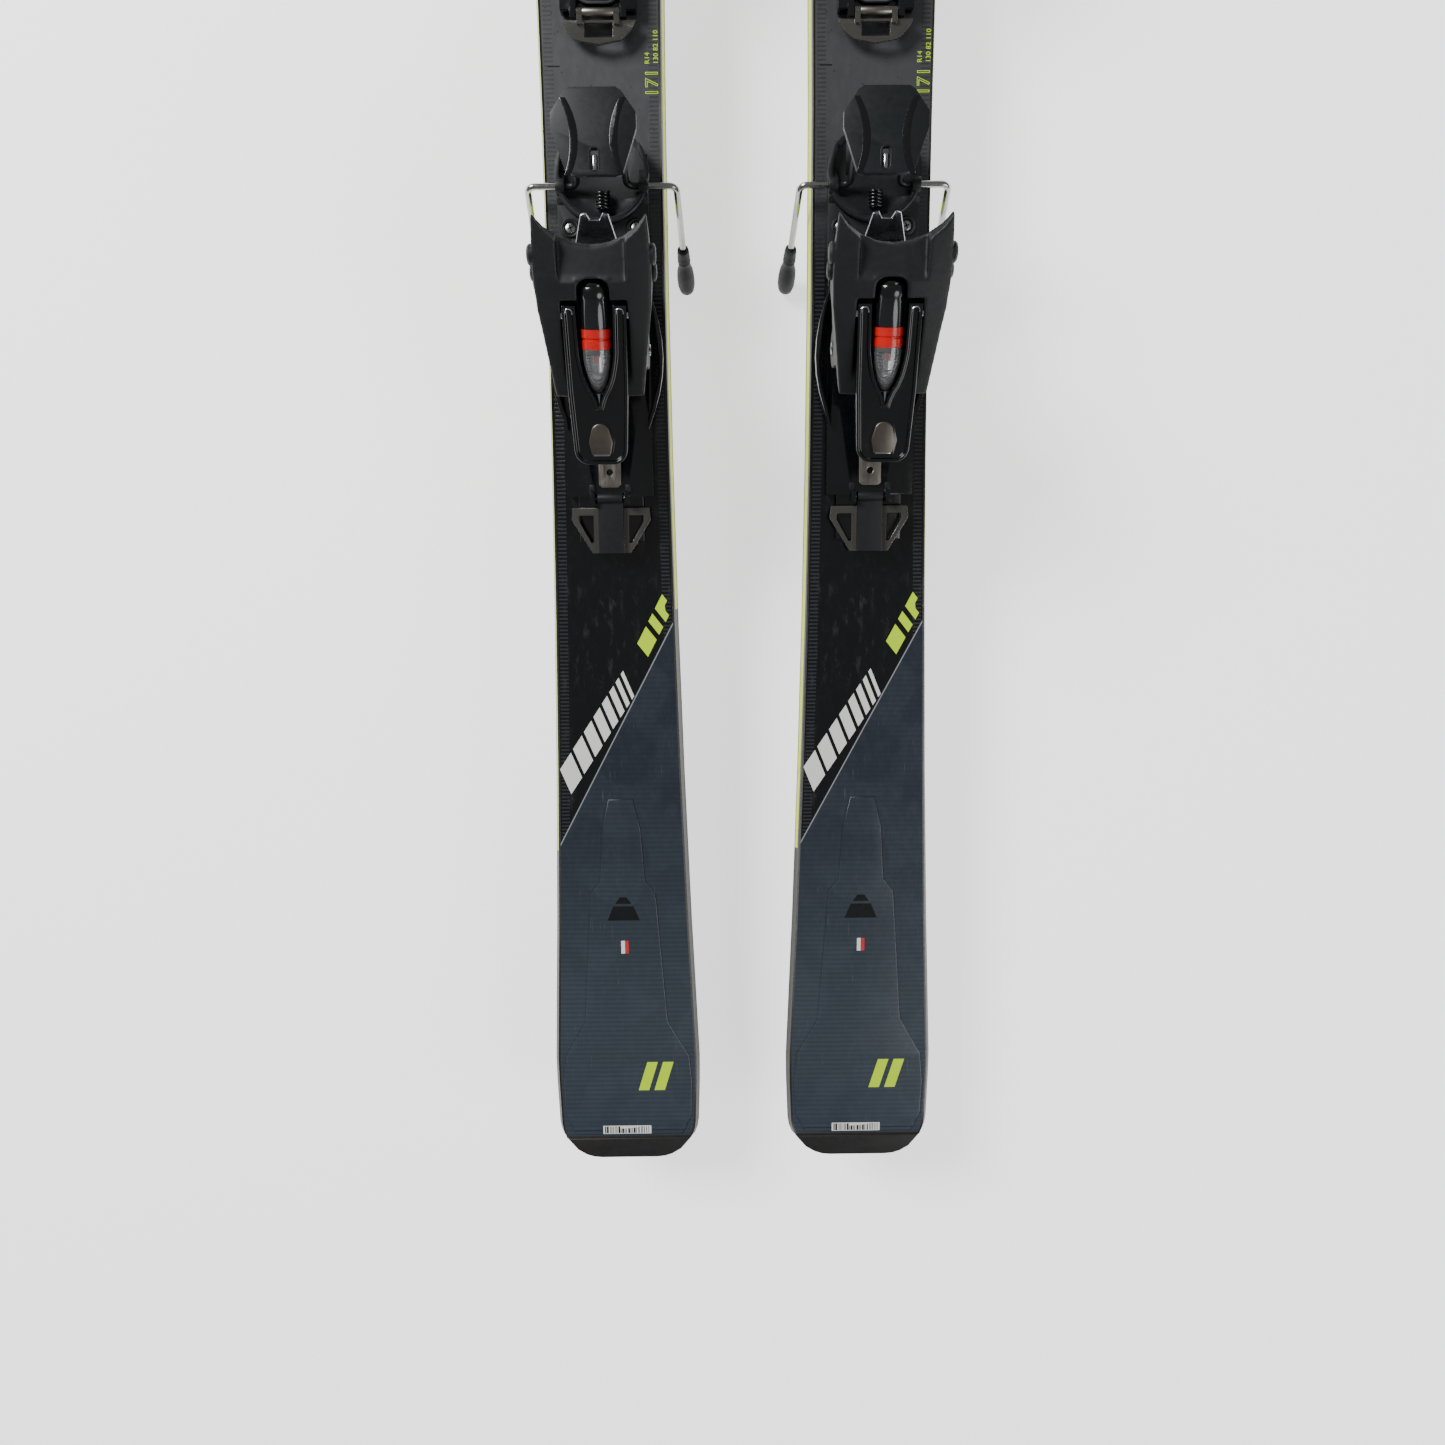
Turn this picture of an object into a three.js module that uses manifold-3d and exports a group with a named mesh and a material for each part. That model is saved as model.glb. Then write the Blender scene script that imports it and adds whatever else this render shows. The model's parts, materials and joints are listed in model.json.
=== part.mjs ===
// A pair of alpine skis with rail bindings: heels open, brakes down, standing on the brake tips.
// Millimetres. X runs across the pair, Y from the tails to the tips, Z up.
// Inside one ski's group, x is measured from its centre line, y from its tail end, z from its running base.

import * as THREE from 'three'
import { mergeVertices } from 'three/addons/utils/BufferGeometryUtils.js'
import Module from 'manifold-3d'

const wasm = await Module()
wasm.setup()

// ---------------------------------------------------------------- driving dimensions

// the pair and the plan of one ski
const SKI_SPACING = 176
const SKI_LENGTH = 1710
const TIP_WIDTH = 130
const WAIST_WIDTH = 82
const TAIL_WIDTH = 110
const SHOVEL_LENGTH = 184 // from the widest place to the tip
const TAIL_LENGTH = 80 // from the widest place to the tail end
const TIP_END_WIDTH = 14
const TAIL_CORNER = 28
const TAIL_TAPER = 1.3 // lost from each side between the widest place and the tail corner

// the side view of one ski
const TIP_RISE = 62
const TIP_RISE_LENGTH = 270
const TAIL_RISE = 3
const TAIL_RISE_LENGTH = 60
const THICK_MIDDLE = 14
const THICK_TAIL = 8
const THICK_TIP = 6
const MIDDLE_START = 520 // the full thickness runs from here
const MIDDLE_END = 900 // to here

// the layers of the ski
const GLUE = 0.3
const EDGE_WIDTH = 2.4
const EDGE_HEIGHT = 2
const SIDEWALL_WIDTH = 8
const SIDEWALL_LEAN = 2.2
const TOPSHEET = 0.8
const GUARD_LENGTH = 15.7
const SIDE_STEPS = 13
const TIP_STEPS = 11

// the boot that the bindings are set to
const BOOT_CENTRE = 775
const BOOT_SOLE = 263
const SOLE_HEIGHT = 34
const BOOT_RADIUS = 34.5
const HEEL_LEDGE = 30
const TOE_LEDGE = 19

// the rail under each binding piece, and the channels that slide on it
const GAP = 0.4
const RAIL_NECK = 34
const RAIL_HEAD = 44
const RAIL_NECK_HEIGHT = 3.2
const RAIL_HEAD_HEIGHT = 3
const DECK = 3.6
const HEEL_RAIL_LENGTH = 226
const TOE_RAIL_LENGTH = 186

// the heel
const HEEL_WIDTH = 58
const HEEL_AXLE_BACK = 53.5 // from the end of the boot sole
const HEEL_AXLE_HEIGHT = 26 // over the boot sole
const HEEL_AXLE_RADIUS = 4
const HEEL_OPEN = 38 // degrees
const BARREL_TILT = 23 // degrees
const BARREL_RADIUS = 9
const BARREL_WALL = 1.3
const BARREL_HEIGHT = 32 // over the heel axle
const BARREL_NOSE = -21 // along the barrel, from the axle
const BARREL_MOUTH = 40
const SLEEVE_REAR = 5 // the red setting sleeve, along the barrel
const SLEEVE_FRONT = 16
const PLUG_REAR = 32 // the black head of the release screw, along the barrel
const PLUG_FRONT = 42
const BARREL_SPINDLE_RADIUS = 2.8
const SCREW_SLOT = 1.8
const CHEEK_INNER = 24
const CHEEK_OUTER = 30
const CHEEK_DEPTH = 30 // under the heel axle, when the heel is shut
const HOOD_WIDTH = 72
const WING_REACH = 35 // the hood's wings, ahead of the end of the boot sole
const LIP_RADIUS = 39 // the hollow between the wings
const TONGUE_REACH = 20 // ahead of the end of the boot sole
const TONGUE_THICKNESS = 2.5
const CARRIAGE_TAIL = 90 // behind the heel axle
const HINGE_RISE = 3.6 // the rear latch's hinge over the deck
const HEEL_LATCH_HALF = 8.5 // half the width of its middle lever
const HEEL_LATCH_REAR = 38 // behind the carriage
const HEEL_LATCH_FRONT = 7.5 // behind the carriage
const LOOP_LENGTH = 92
const LOOP_BAND = 8 // the loop's end along the carriage
const LEVER_WIDTH = 39
const LEVER_END_WIDTH = 33
const LEVER_LENGTH = 94
const LEVER_THICKNESS = 9
const LEVER_FRONT = 30 // along the barrel, from the axle
const LEVER_PIN_AHEAD = 24 // along the barrel, from the axle
const LEVER_RISE = 6 // its top over the barrel's middle
const LEVER_PIN_RADIUS = 2.5
const TAB_WIDTH = 15
const TAB_LENGTH = 50
const TAB_THICKNESS = 1.5
const TAB_HOLE_RADIUS = 2.2
const LOOP_BULGE = 37.5

// the brake
const BRAKE_AXLE_AHEAD = 52.5 // from the end of the boot sole
const BRAKE_AXLE_HEIGHT = 28
const WIRE_RADIUS = 2.15
const ARM_SPREAD = 48
const ARM_LENGTH = 96
const ARM_DROP = 60 // degrees under the level
const ARM_SPLAY = 4.5
const CRANK_AHEAD = 22
const CRANK_RISE = 37
const CRANK_HALF = 14
const WELL_RADIUS = 27.5
const WELL_WALL = 3
const PEDAL_THICKNESS = 5
const PEDAL_TOP = 11 // over the crank
const WELL_AHEAD = 8 // the well's centre ahead of the brake axle
const BEARING_RADIUS = 5 // the cheek round the brake axle
const BEARING_WALL = 5.5
const TIP_LENGTH = 40
const TIP_RADIUS = 7.5
const TIP_BORE_RADIUS = 2.8
const TIP_BORE_END = 12

// the toe
const TOE_CLAW = 1.6 // wall of the toe's slide beside the rail head
const TOWER_WIDTH = 62
const TOWER_HEIGHT = 70
const WING_PIN_RADIUS = 3
const AFD_WIDTH = 42
const LATCH_WIDTH = 48
const LATCH_ROLLER = 2.6
const LUG_INNER = 10 // the two lugs of the toe latch, from the middle
const LUG_OUTER = 13.5
const FINGER_HALF = 9 // half the width of the finger hole
const TOE_TAIL = 105 // the toe's slider behind the toe of the boot
const TOWER_AHEAD = 72 // its front ahead of the toe of the boot
const WING_PIN_SPREAD = 25
const WING_PIN_AHEAD = 18
const SHELF_RISE = 7 // the shelf under the wings, over the sole
const ROOF_RISE = 9 // the roof over the wings, over the boot's toe ledge
const RIB_BACK = 27 // the rib under the sole plate, behind the toe of the boot
const RIB_HALF = 4
const RELEASE_SCREW_HEIGHT = 46
const RELEASE_HEAD_RADIUS = 6.5

// ---------------------------------------------------------------- worked out from them

const heelEnd = BOOT_CENTRE - BOOT_SOLE / 2
const toeEnd = BOOT_CENTRE + BOOT_SOLE / 2
const railFoot = THICK_MIDDLE + GLUE
const railNeckTop = railFoot + RAIL_NECK_HEIGHT
const railTop = railNeckTop + RAIL_HEAD_HEIGHT
const channelTop = railTop + GAP
const deckTop = channelTop + DECK
const axleY = heelEnd - HEEL_AXLE_BACK
const axleZ = SOLE_HEIGHT + HEEL_AXLE_HEIGHT
const brakeY = heelEnd + BRAKE_AXLE_AHEAD
const toeRear = toeEnd - TOE_TAIL
const latchHingeY = toeRear - 1.5
const latchHingeZ = railTop + GAP + LATCH_ROLLER
const heelRear = axleY - CARRIAGE_TAIL
const heelHingeY = heelRear - 1
const heelHingeZ = deckTop + HINGE_RISE
const tailWidest = TAIL_LENGTH
const tipWidest = SKI_LENGTH - SHOVEL_LENGTH
const radians = THREE.MathUtils.degToRad

// ---------------------------------------------------------------- finishes

const finish = (color, roughness, metalness = 0) =>
  new THREE.MeshStandardMaterial({ color, roughness, metalness })
const blackBase = finish(0x101113, 0.5)
const edgeSteel = finish(0xa9adb0, 0.35, 1)
const wood = finish(0xb28a5c, 0.7)
const neon = finish(0xcfe03a, 0.45)
const graphic = finish(0x2b3038, 0.35)
const glossBlack = finish(0x0c0d10, 0.15)
const mattBlack = finish(0x1d1f22, 0.65)
const smoke = finish(0x6b6c6a, 0.2)
const brightSteel = finish(0xc9ccd0, 0.22, 1)
const satinSteel = finish(0x8f8b84, 0.4, 1)
const clear = finish(0xb9bcc0, 0.08)
const red = finish(0xb01f1a, 0.35)

// ---------------------------------------------------------------- solids and cuts

// A closed geometry as a solid: shared corners merged, slivers at poles dropped, faces outwards.
function solid(geometry) {
  const bare = geometry.clone()
  bare.deleteAttribute('normal')
  bare.deleteAttribute('uv')
  const merged = mergeVertices(bare)
  const points = merged.attributes.position
  const corners = []
  const [a, b, c] = [new THREE.Vector3(), new THREE.Vector3(), new THREE.Vector3()]
  let volume = 0
  for (let i = 0; i < merged.index.count; i += 3) {
    const [p, q, r] = [0, 1, 2].map((k) => merged.index.getX(i + k))
    if (p === q || q === r || r === p) continue
    corners.push(p, q, r)
    a.fromBufferAttribute(points, p)
    volume += a.dot(b.fromBufferAttribute(points, q).cross(c.fromBufferAttribute(points, r)))
  }
  if (volume < 0) corners.reverse()
  const mesh = { numProp: 3, vertProperties: points.array, triVerts: Uint32Array.from(corners) }
  return new wasm.Manifold(new wasm.Mesh(mesh))
}

const asSolid = (shape) => (shape.isBufferGeometry ? solid(shape) : shape)
const join = (...shapes) => shapes.map(asSolid).reduce((all, next) => all.add(next))
const cut = (shape, ...tools) => (
  tools.map(asSolid).reduce((left, tool) => left.subtract(tool), asSolid(shape)))
const common = (shape, other) => asSolid(shape).intersect(asSolid(other))

function asGeometry(shape) {
  const { vertProperties, triVerts } = asSolid(shape).getMesh()
  const geometry = new THREE.BufferGeometry()
  geometry.setAttribute('position', new THREE.BufferAttribute(Float32Array.from(vertProperties), 3))
  return geometry.setIndex(new THREE.BufferAttribute(Uint32Array.from(triVerts), 1))
}

function piece(name, shape, material) {
  const geometry = asGeometry(shape)
  geometry.computeVertexNormals()
  const mesh = new THREE.Mesh(geometry, material)
  mesh.name = name
  return mesh
}

const sides = [-1, 1]
const outline = (points) => new THREE.Shape(points.map(([u, v]) => new THREE.Vector2(u, v)))

// A plan (x, y) raised from one height to another.
function raised(shape, low, high, curveSegments = 6) {
  const settings = { depth: high - low, bevelEnabled: false, curveSegments }
  return new THREE.ExtrudeGeometry(shape, settings).translate(0, 0, low)
}

// A side view (y, z) drawn out across from one x to another.
function across(shape, x0, x1, curveSegments = 6) {
  const [low, high] = [Math.min(x0, x1), Math.max(x0, x1)]
  const turn = new THREE.Matrix4().makeBasis(
    new THREE.Vector3(0, 1, 0), new THREE.Vector3(0, 0, 1), new THREE.Vector3(1, 0, 0))
  return raised(shape, low, high, curveSegments).applyMatrix4(turn)
}

// A section (x, z) drawn out along from one y to another.
function along(shape, y0, y1, curveSegments = 6) {
  return raised(shape, -y1, -y0, curveSegments).rotateX(Math.PI / 2)
}

// A box between two planes each way; the two x planes may come in either order.
function box(x0, x1, y0, y1, z0, z1) {
  const size = [Math.abs(x1 - x0), y1 - y0, z1 - z0]
  return new THREE.BoxGeometry(...size).translate((x0 + x1) / 2, (y0 + y1) / 2, (z0 + z1) / 2)
}

function pinX(radius, x0, x1, y, z, count = 12) {
  const bar = new THREE.CylinderGeometry(radius, radius, Math.abs(x1 - x0), count)
  return bar.rotateZ(Math.PI / 2).translate((x0 + x1) / 2, y, z)
}

function pinY(radius, y0, y1, x, z, count = 12) {
  return new THREE.CylinderGeometry(radius, radius, y1 - y0, count).translate(x, (y0 + y1) / 2, z)
}

function pinZ(radius, z0, z1, x, y, count = 12) {
  const bar = new THREE.CylinderGeometry(radius, radius, z1 - z0, count)
  return bar.rotateX(Math.PI / 2).translate(x, y, (z0 + z1) / 2)
}

// ---------------------------------------------------------------- the ski's plan and side view

// The sidecut is one arc that meets the three widths, so its radius follows from them and the length.
const deepTip = Math.sqrt(TIP_WIDTH - WAIST_WIDTH)
const deepTail = Math.sqrt(TAIL_WIDTH - WAIST_WIDTH)
const sidecutRadius = ((tipWidest - tailWidest) / (deepTip + deepTail)) ** 2
const waistY = tailWidest + deepTail * Math.sqrt(sidecutRadius)

function halfWidth(y) {
  if (y > tipWidest) {
    const t = Math.min(1, (y - tipWidest) / SHOVEL_LENGTH)
    return TIP_END_WIDTH / 2 + ((TIP_WIDTH - TIP_END_WIDTH) / 2) * (1 - t ** 2.4) ** 0.6
  }
  if (y > tailWidest) return (WAIST_WIDTH + (y - waistY) ** 2 / sidecutRadius) / 2
  const straight = TAIL_WIDTH / 2 - TAIL_TAPER * ((tailWidest - y) / (tailWidest - TAIL_CORNER)) ** 2
  if (y > TAIL_CORNER) return straight
  return straight - TAIL_CORNER + Math.sqrt(TAIL_CORNER ** 2 - (TAIL_CORNER - y) ** 2)
}

const ramp = (t) => THREE.MathUtils.smoothstep(t, 0, 1)

function thickness(y) {
  const towardsTail = ramp((MIDDLE_START - y) / (MIDDLE_START - TAIL_RISE_LENGTH))
  const towardsTip = ramp((y - MIDDLE_END) / (tipWidest - MIDDLE_END))
  return THICK_MIDDLE - (THICK_MIDDLE - THICK_TAIL) * towardsTail - (THICK_MIDDLE - THICK_TIP) * towardsTip
}

function baseHeight(y) {
  const tip = Math.max(0, (y - SKI_LENGTH + TIP_RISE_LENGTH) / TIP_RISE_LENGTH)
  const tail = Math.max(0, (TAIL_RISE_LENGTH - y) / TAIL_RISE_LENGTH)
  return TIP_RISE * tip ** 2.1 + TAIL_RISE * tail ** 2
}

// Places along one side, from the tail guard to the tip: close where the outline turns.
const guardFace = GUARD_LENGTH + GLUE
const places = [guardFace, (guardFace + TAIL_CORNER) / 2, TAIL_CORNER, TAIL_RISE_LENGTH]
for (let i = 0; i <= SIDE_STEPS; i++) places.push(tailWidest + ((tipWidest - tailWidest) * i) / SIDE_STEPS)
for (let i = 1; i <= TIP_STEPS; i++) {
  places.push(tipWidest + SHOVEL_LENGTH * Math.sin((i / TIP_STEPS) * Math.PI / 2))
}

// The point on the right side at a place, moved in from the true edge.
function sidePoint(y, inset) {
  if (y <= tipWidest) return new THREE.Vector2(halfWidth(y) - inset, y)
  const step = 0.01
  const slope = y < SKI_LENGTH ? (halfWidth(y + step) - halfWidth(y - step)) / (2 * step) : -1e6
  const normal = new THREE.Vector2(1, -slope).normalize()
  return new THREE.Vector2(halfWidth(y), y).addScaledVector(normal, -inset)
}

// A strip of box cells whose four long corners follow place(i, u, v): u from one side to the other, v up.
function strip(count, place) {
  const cells = new THREE.BoxGeometry(1, 1, 1, 1, count - 1, 1)
  const points = cells.attributes.position
  for (let k = 0; k < points.count; k++) {
    const i = Math.round((points.getY(k) + 0.5) * (count - 1))
    points.setXYZ(k, ...place(i, points.getX(k) + 0.5, points.getZ(k) + 0.5))
  }
  return cells
}

// A full-width layer between two heights over the running base.
function layer(inset, low, high) {
  return strip(places.length, (i, u, v) => {
    const { x, y } = sidePoint(places[i], inset)
    return [(2 * u - 1) * x, y, baseHeight(y) + (v ? high(y) : low(y))]
  })
}

const topOf = (y) => thickness(y) - TOPSHEET - GLUE

function runningBase() {
  return layer(EDGE_WIDTH + GLUE, () => 0, () => EDGE_HEIGHT)
}

// One strip of steel up the right side, round the tip and back down the left.
function steelEdge() {
  const last = places.length - 1
  return strip(2 * places.length, (i, u, v) => {
    const right = i <= last
    const { x, y } = sidePoint(places[right ? i : 2 * last + 1 - i], u ? 0 : EDGE_WIDTH)
    return [right ? x : -x, y, baseHeight(y) + (v ? EDGE_HEIGHT : 0)]
  })
}

function core() {
  return layer(SIDEWALL_WIDTH + 2 * GLUE, () => EDGE_HEIGHT + GLUE, topOf)
}

// A leaning wall along one side that closes at the middle of the tip.
function sidewall(side) {
  return strip(places.length + 1, (i, u, v) => {
    const atEnd = i === places.length
    const place = places[Math.min(i, places.length - 1)]
    const { x, y } = sidePoint(place, u ? GLUE + (v ? SIDEWALL_LEAN : 0) : SIDEWALL_WIDTH + GLUE)
    return [side * (atEnd ? GLUE / 2 : x), y, baseHeight(y) + (v ? topOf(y) : EDGE_HEIGHT + GLUE)]
  })
}

function topsheet() {
  return layer(SIDEWALL_LEAN + GLUE, (y) => thickness(y) - TOPSHEET, thickness)
}

// The moulded guard that closes the tail over its full height.
function tailGuard() {
  const rows = [0, 0.04, 0.15, 0.4, 1].map((t) => t * GUARD_LENGTH)
  return strip(rows.length, (i, u, v) => {
    const y = rows[i]
    const x = halfWidth(y) - GLUE - (v ? SIDEWALL_LEAN : 0)
    return [(2 * u - 1) * x, y, baseHeight(y) + (v ? thickness(y) : 0.2)]
  })
}

// ---------------------------------------------------------------- rails and the channels on them

function rail(y0, y1) {
  const [neck, head] = [RAIL_NECK / 2, RAIL_HEAD / 2]
  const section = outline([
    [-neck, railFoot], [neck, railFoot], [neck, railNeckTop], [head, railNeckTop],
    [head, railTop], [-head, railTop], [-head, railNeckTop], [-neck, railNeckTop]])
  return along(section, y0, y1)
}

// A channel that wraps the rail's head, under a flat deck.
function channel(width, y0, y1) {
  const [side, head, neck] = [width / 2, RAIL_HEAD / 2 + GAP, RAIL_NECK / 2 + GAP]
  const [foot, hook] = [railFoot + GAP, railNeckTop - GAP]
  const section = outline([
    [-side, foot], [-neck, foot], [-neck, hook], [-head, hook], [-head, channelTop],
    [head, channelTop], [head, hook], [neck, hook], [neck, foot], [side, foot],
    [side, deckTop], [-side, deckTop]])
  return along(section, y0, y1)
}

// ---------------------------------------------------------------- the heel

// The axle's own frame, level when the heel is shut: y ahead of the axle, z over it.
function inAxleFrame(...meshes) {
  const frame = new THREE.Group()
  frame.position.set(0, axleY, axleZ)
  frame.rotation.x = radians(HEEL_OPEN)
  if (meshes.length) frame.add(...meshes)
  return frame
}

// From the barrel's frame, in which the barrel lies level, to the axle's frame.
const fromBarrel = (geometry) => geometry.rotateX(-radians(BARREL_TILT))

const bootEdge = HEEL_AXLE_BACK // the end of the boot sole, ahead of the axle
const ledge = HEEL_LEDGE - HEEL_AXLE_HEIGHT // the top of the boot's heel ledge, over the axle
const wingTip = bootEdge + WING_REACH
const leverTop = BARREL_HEIGHT + LEVER_RISE
const leverFoot = leverTop - LEVER_THICKNESS
const leverPinZ = leverTop - LEVER_THICKNESS / 2

// The housing: a hood with two wings over the boot's heel, and two cheeks down to the axle.
function heelCup() {
  const hoodSide = outline([
    [wingTip, ledge + 6], [wingTip, ledge + 0.6], [wingTip - 26, ledge + 0.6], [bootEdge - 4, ledge - 8],
    [20, 2], [-14, 24], [-12.5, 34.6], [38, 25], [57, 21]])
  const half = HOOD_WIDTH / 2
  const hoodPlan = new THREE.Shape()
  hoodPlan.moveTo(-half + 3, wingTip)
  hoodPlan.quadraticCurveTo(-half - 1, 50, -CHEEK_OUTER - 2, 25)
  hoodPlan.lineTo(-CHEEK_OUTER + 3, -16)
  hoodPlan.lineTo(CHEEK_OUTER - 3, -16)
  hoodPlan.lineTo(CHEEK_OUTER + 2, 25)
  hoodPlan.quadraticCurveTo(half + 1, 50, half - 3, wingTip)
  const hood = common(across(hoodSide, -half, half), raised(hoodPlan, -40, 60, 4))
  const cheekSide = new THREE.Shape()
  cheekSide.moveTo(bootEdge - 4, -2)
  cheekSide.lineTo(bootEdge - 4, -CHEEK_DEPTH)
  cheekSide.lineTo(24, -CHEEK_DEPTH)
  cheekSide.lineTo(8, -9)
  cheekSide.absarc(0, 0, 12, -Math.PI / 4, Math.PI * 0.8, true)
  cheekSide.lineTo(4, 26)
  cheekSide.lineTo(40, 12)
  const cheeks = sides.map((side) => across(cheekSide, side * CHEEK_INNER, side * CHEEK_OUTER, 5))
  const lip = pinZ(LIP_RADIUS, ledge, 60, 0, bootEdge + 17 + LIP_RADIUS, 24)
  const boot = pinZ(BOOT_RADIUS + 0.5, -60, ledge + 0.4, 0, bootEdge + BOOT_RADIUS, 24)
  const inside = across(outline([[bootEdge - 6, -40], [bootEdge - 6, -2], [46, 2], [-20, 30], [-30, -20]]),
    -CHEEK_INNER, CHEEK_INNER)
  const boreRadius = BARREL_RADIUS + 0.5
  const bore = fromBarrel(pinY(boreRadius, -60, BARREL_MOUTH + 4, 0, BARREL_HEIGHT, 16))
  const arch = fromBarrel(box(-boreRadius, boreRadius, -60, BARREL_MOUTH + 4, BARREL_HEIGHT, 70))
  const leverBed = fromBarrel(
    box(-LEVER_WIDTH / 2 - GAP, LEVER_WIDTH / 2 + GAP, -70, LEVER_FRONT + 2, leverFoot - GAP, 70))
  const leverBore = fromBarrel(
    pinX(LEVER_PIN_RADIUS + GAP, -CHEEK_INNER, CHEEK_INNER, LEVER_PIN_AHEAD, leverPinZ))
  const crownSide = outline([[54, 22], [58, 18], [74, ledge + 3], [110, ledge + 3], [110, 60], [54, 60]])
  const crown = across(crownSide, -20, 20)
  const axleBore = pinX(HEEL_AXLE_RADIUS + GAP, -50, 50, 0, 0)
  return cut(join(cut(hood, inside), ...cheeks), lip, boot, bore, arch, leverBed, leverBore, crown, axleBore)
}

// The lever: two rails beside the barrel, joined behind it, hung on two short pins.
function heelLever() {
  const [half, end, gap] = [LEVER_WIDTH / 2, LEVER_END_WIDTH / 2, BARREL_RADIUS + 2]
  const rear = LEVER_FRONT - LEVER_LENGTH
  const plan = new THREE.Shape()
  plan.moveTo(-half, LEVER_FRONT)
  plan.lineTo(-half + 1, -20)
  plan.lineTo(-end, rear + 9)
  plan.quadraticCurveTo(-end, rear, -end + 10, rear)
  plan.lineTo(end - 10, rear)
  plan.quadraticCurveTo(end, rear, end, rear + 9)
  plan.lineTo(half - 1, -20)
  plan.lineTo(half, LEVER_FRONT)
  plan.lineTo(gap, LEVER_FRONT)
  plan.lineTo(gap, -16)
  plan.quadraticCurveTo(gap - 1, -28, 0, -33)
  plan.quadraticCurveTo(-gap + 1, -28, -gap, -16)
  plan.lineTo(-gap, LEVER_FRONT)
  const bar = raised(plan, leverFoot, leverTop, 4)
  const pins = sides.map((side) => (
    pinX(LEVER_PIN_RADIUS, side * (half - 2), side * (CHEEK_INNER - 0.6), LEVER_PIN_AHEAD, leverPinZ)))
  const notch = pinZ(5, leverTop - 4, leverTop + 5, 0, -50, 10)
  const chamfer = across(outline([[LEVER_PIN_AHEAD - 2, leverFoot - 1], [LEVER_FRONT + 1, leverFoot - 1],
    [LEVER_FRONT + 1, leverPinZ]]), -half - 1, half + 1)
  return fromBarrel(asGeometry(cut(join(bar, ...pins), notch, chamfer)))
}

// A turned shape on the barrel's axis: pairs of radius and place along it.
function turnedOnBarrel(profile, count = 14) {
  const points = profile.map(([radius, y]) => new THREE.Vector2(radius, y))
  return fromBarrel(new THREE.LatheGeometry(points, count).translate(0, 0, BARREL_HEIGHT))
}

function springBarrel() {
  const [outer, inner] = [BARREL_RADIUS, BARREL_RADIUS - BARREL_WALL]
  return turnedOnBarrel([
    [0, BARREL_NOSE], [3.5, BARREL_NOSE + 2.5], [7, BARREL_NOSE + 10], [outer, BARREL_NOSE + 20],
    [outer, BARREL_MOUTH], [inner, BARREL_MOUTH], [inner, BARREL_NOSE + 21], [5.6, BARREL_NOSE + 11],
    [0, BARREL_NOSE + 4]])
}

// The red sleeve with two ribs, and its pointer over the scale.
function indicator() {
  const outer = BARREL_RADIUS - BARREL_WALL - GAP
  const inner = BARREL_SPINDLE_RADIUS + 0.6
  const middle = (SLEEVE_REAR + SLEEVE_FRONT) / 2
  const sleeve = turnedOnBarrel([
    [inner, SLEEVE_REAR], [outer, SLEEVE_REAR], [outer, middle - 1.5], [outer - 1, middle],
    [outer, middle + 1.5], [outer, SLEEVE_FRONT], [inner, SLEEVE_FRONT], [inner, SLEEVE_REAR]], 12)
  const pointer = fromBarrel(box(-1.5, 1.5, -3, 7, BARREL_HEIGHT + 3.6, BARREL_HEIGHT + 5.6))
  return join(sleeve, pointer)
}

// The release screw: a spindle through the sleeve, with a slotted black head in the barrel's mouth.
function heelScrew() {
  const head = BARREL_RADIUS - BARREL_WALL - GAP
  const spindle = BARREL_SPINDLE_RADIUS
  const body = turnedOnBarrel([
    [0, -12], [spindle, -12], [spindle, PLUG_REAR], [head, PLUG_REAR], [head, PLUG_FRONT],
    [0, PLUG_FRONT]], 12)
  const [slotFoot, slotTop] = [BARREL_HEIGHT - SCREW_SLOT / 2, BARREL_HEIGHT + SCREW_SLOT / 2]
  return cut(body, fromBarrel(box(-6, 6, PLUG_FRONT - 2, PLUG_FRONT + 8, slotFoot, slotTop)))
}

// The steel tongue under the boot, with two horns in front.
function tongue() {
  const wide = CHEEK_INNER - GAP
  const front = bootEdge + TONGUE_REACH
  const plan = outline([
    [-wide, 26], [wide, 26], [wide, 44], [14, 52], [8.5, front], [5, front + 1], [3, front - 3],
    [-3, front - 3], [-5, front + 1], [-8.5, front], [-14, 52], [-wide, 44]])
  return raised(plan, -HEEL_AXLE_HEIGHT - TONGUE_THICKNESS, -HEEL_AXLE_HEIGHT)
}

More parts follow.
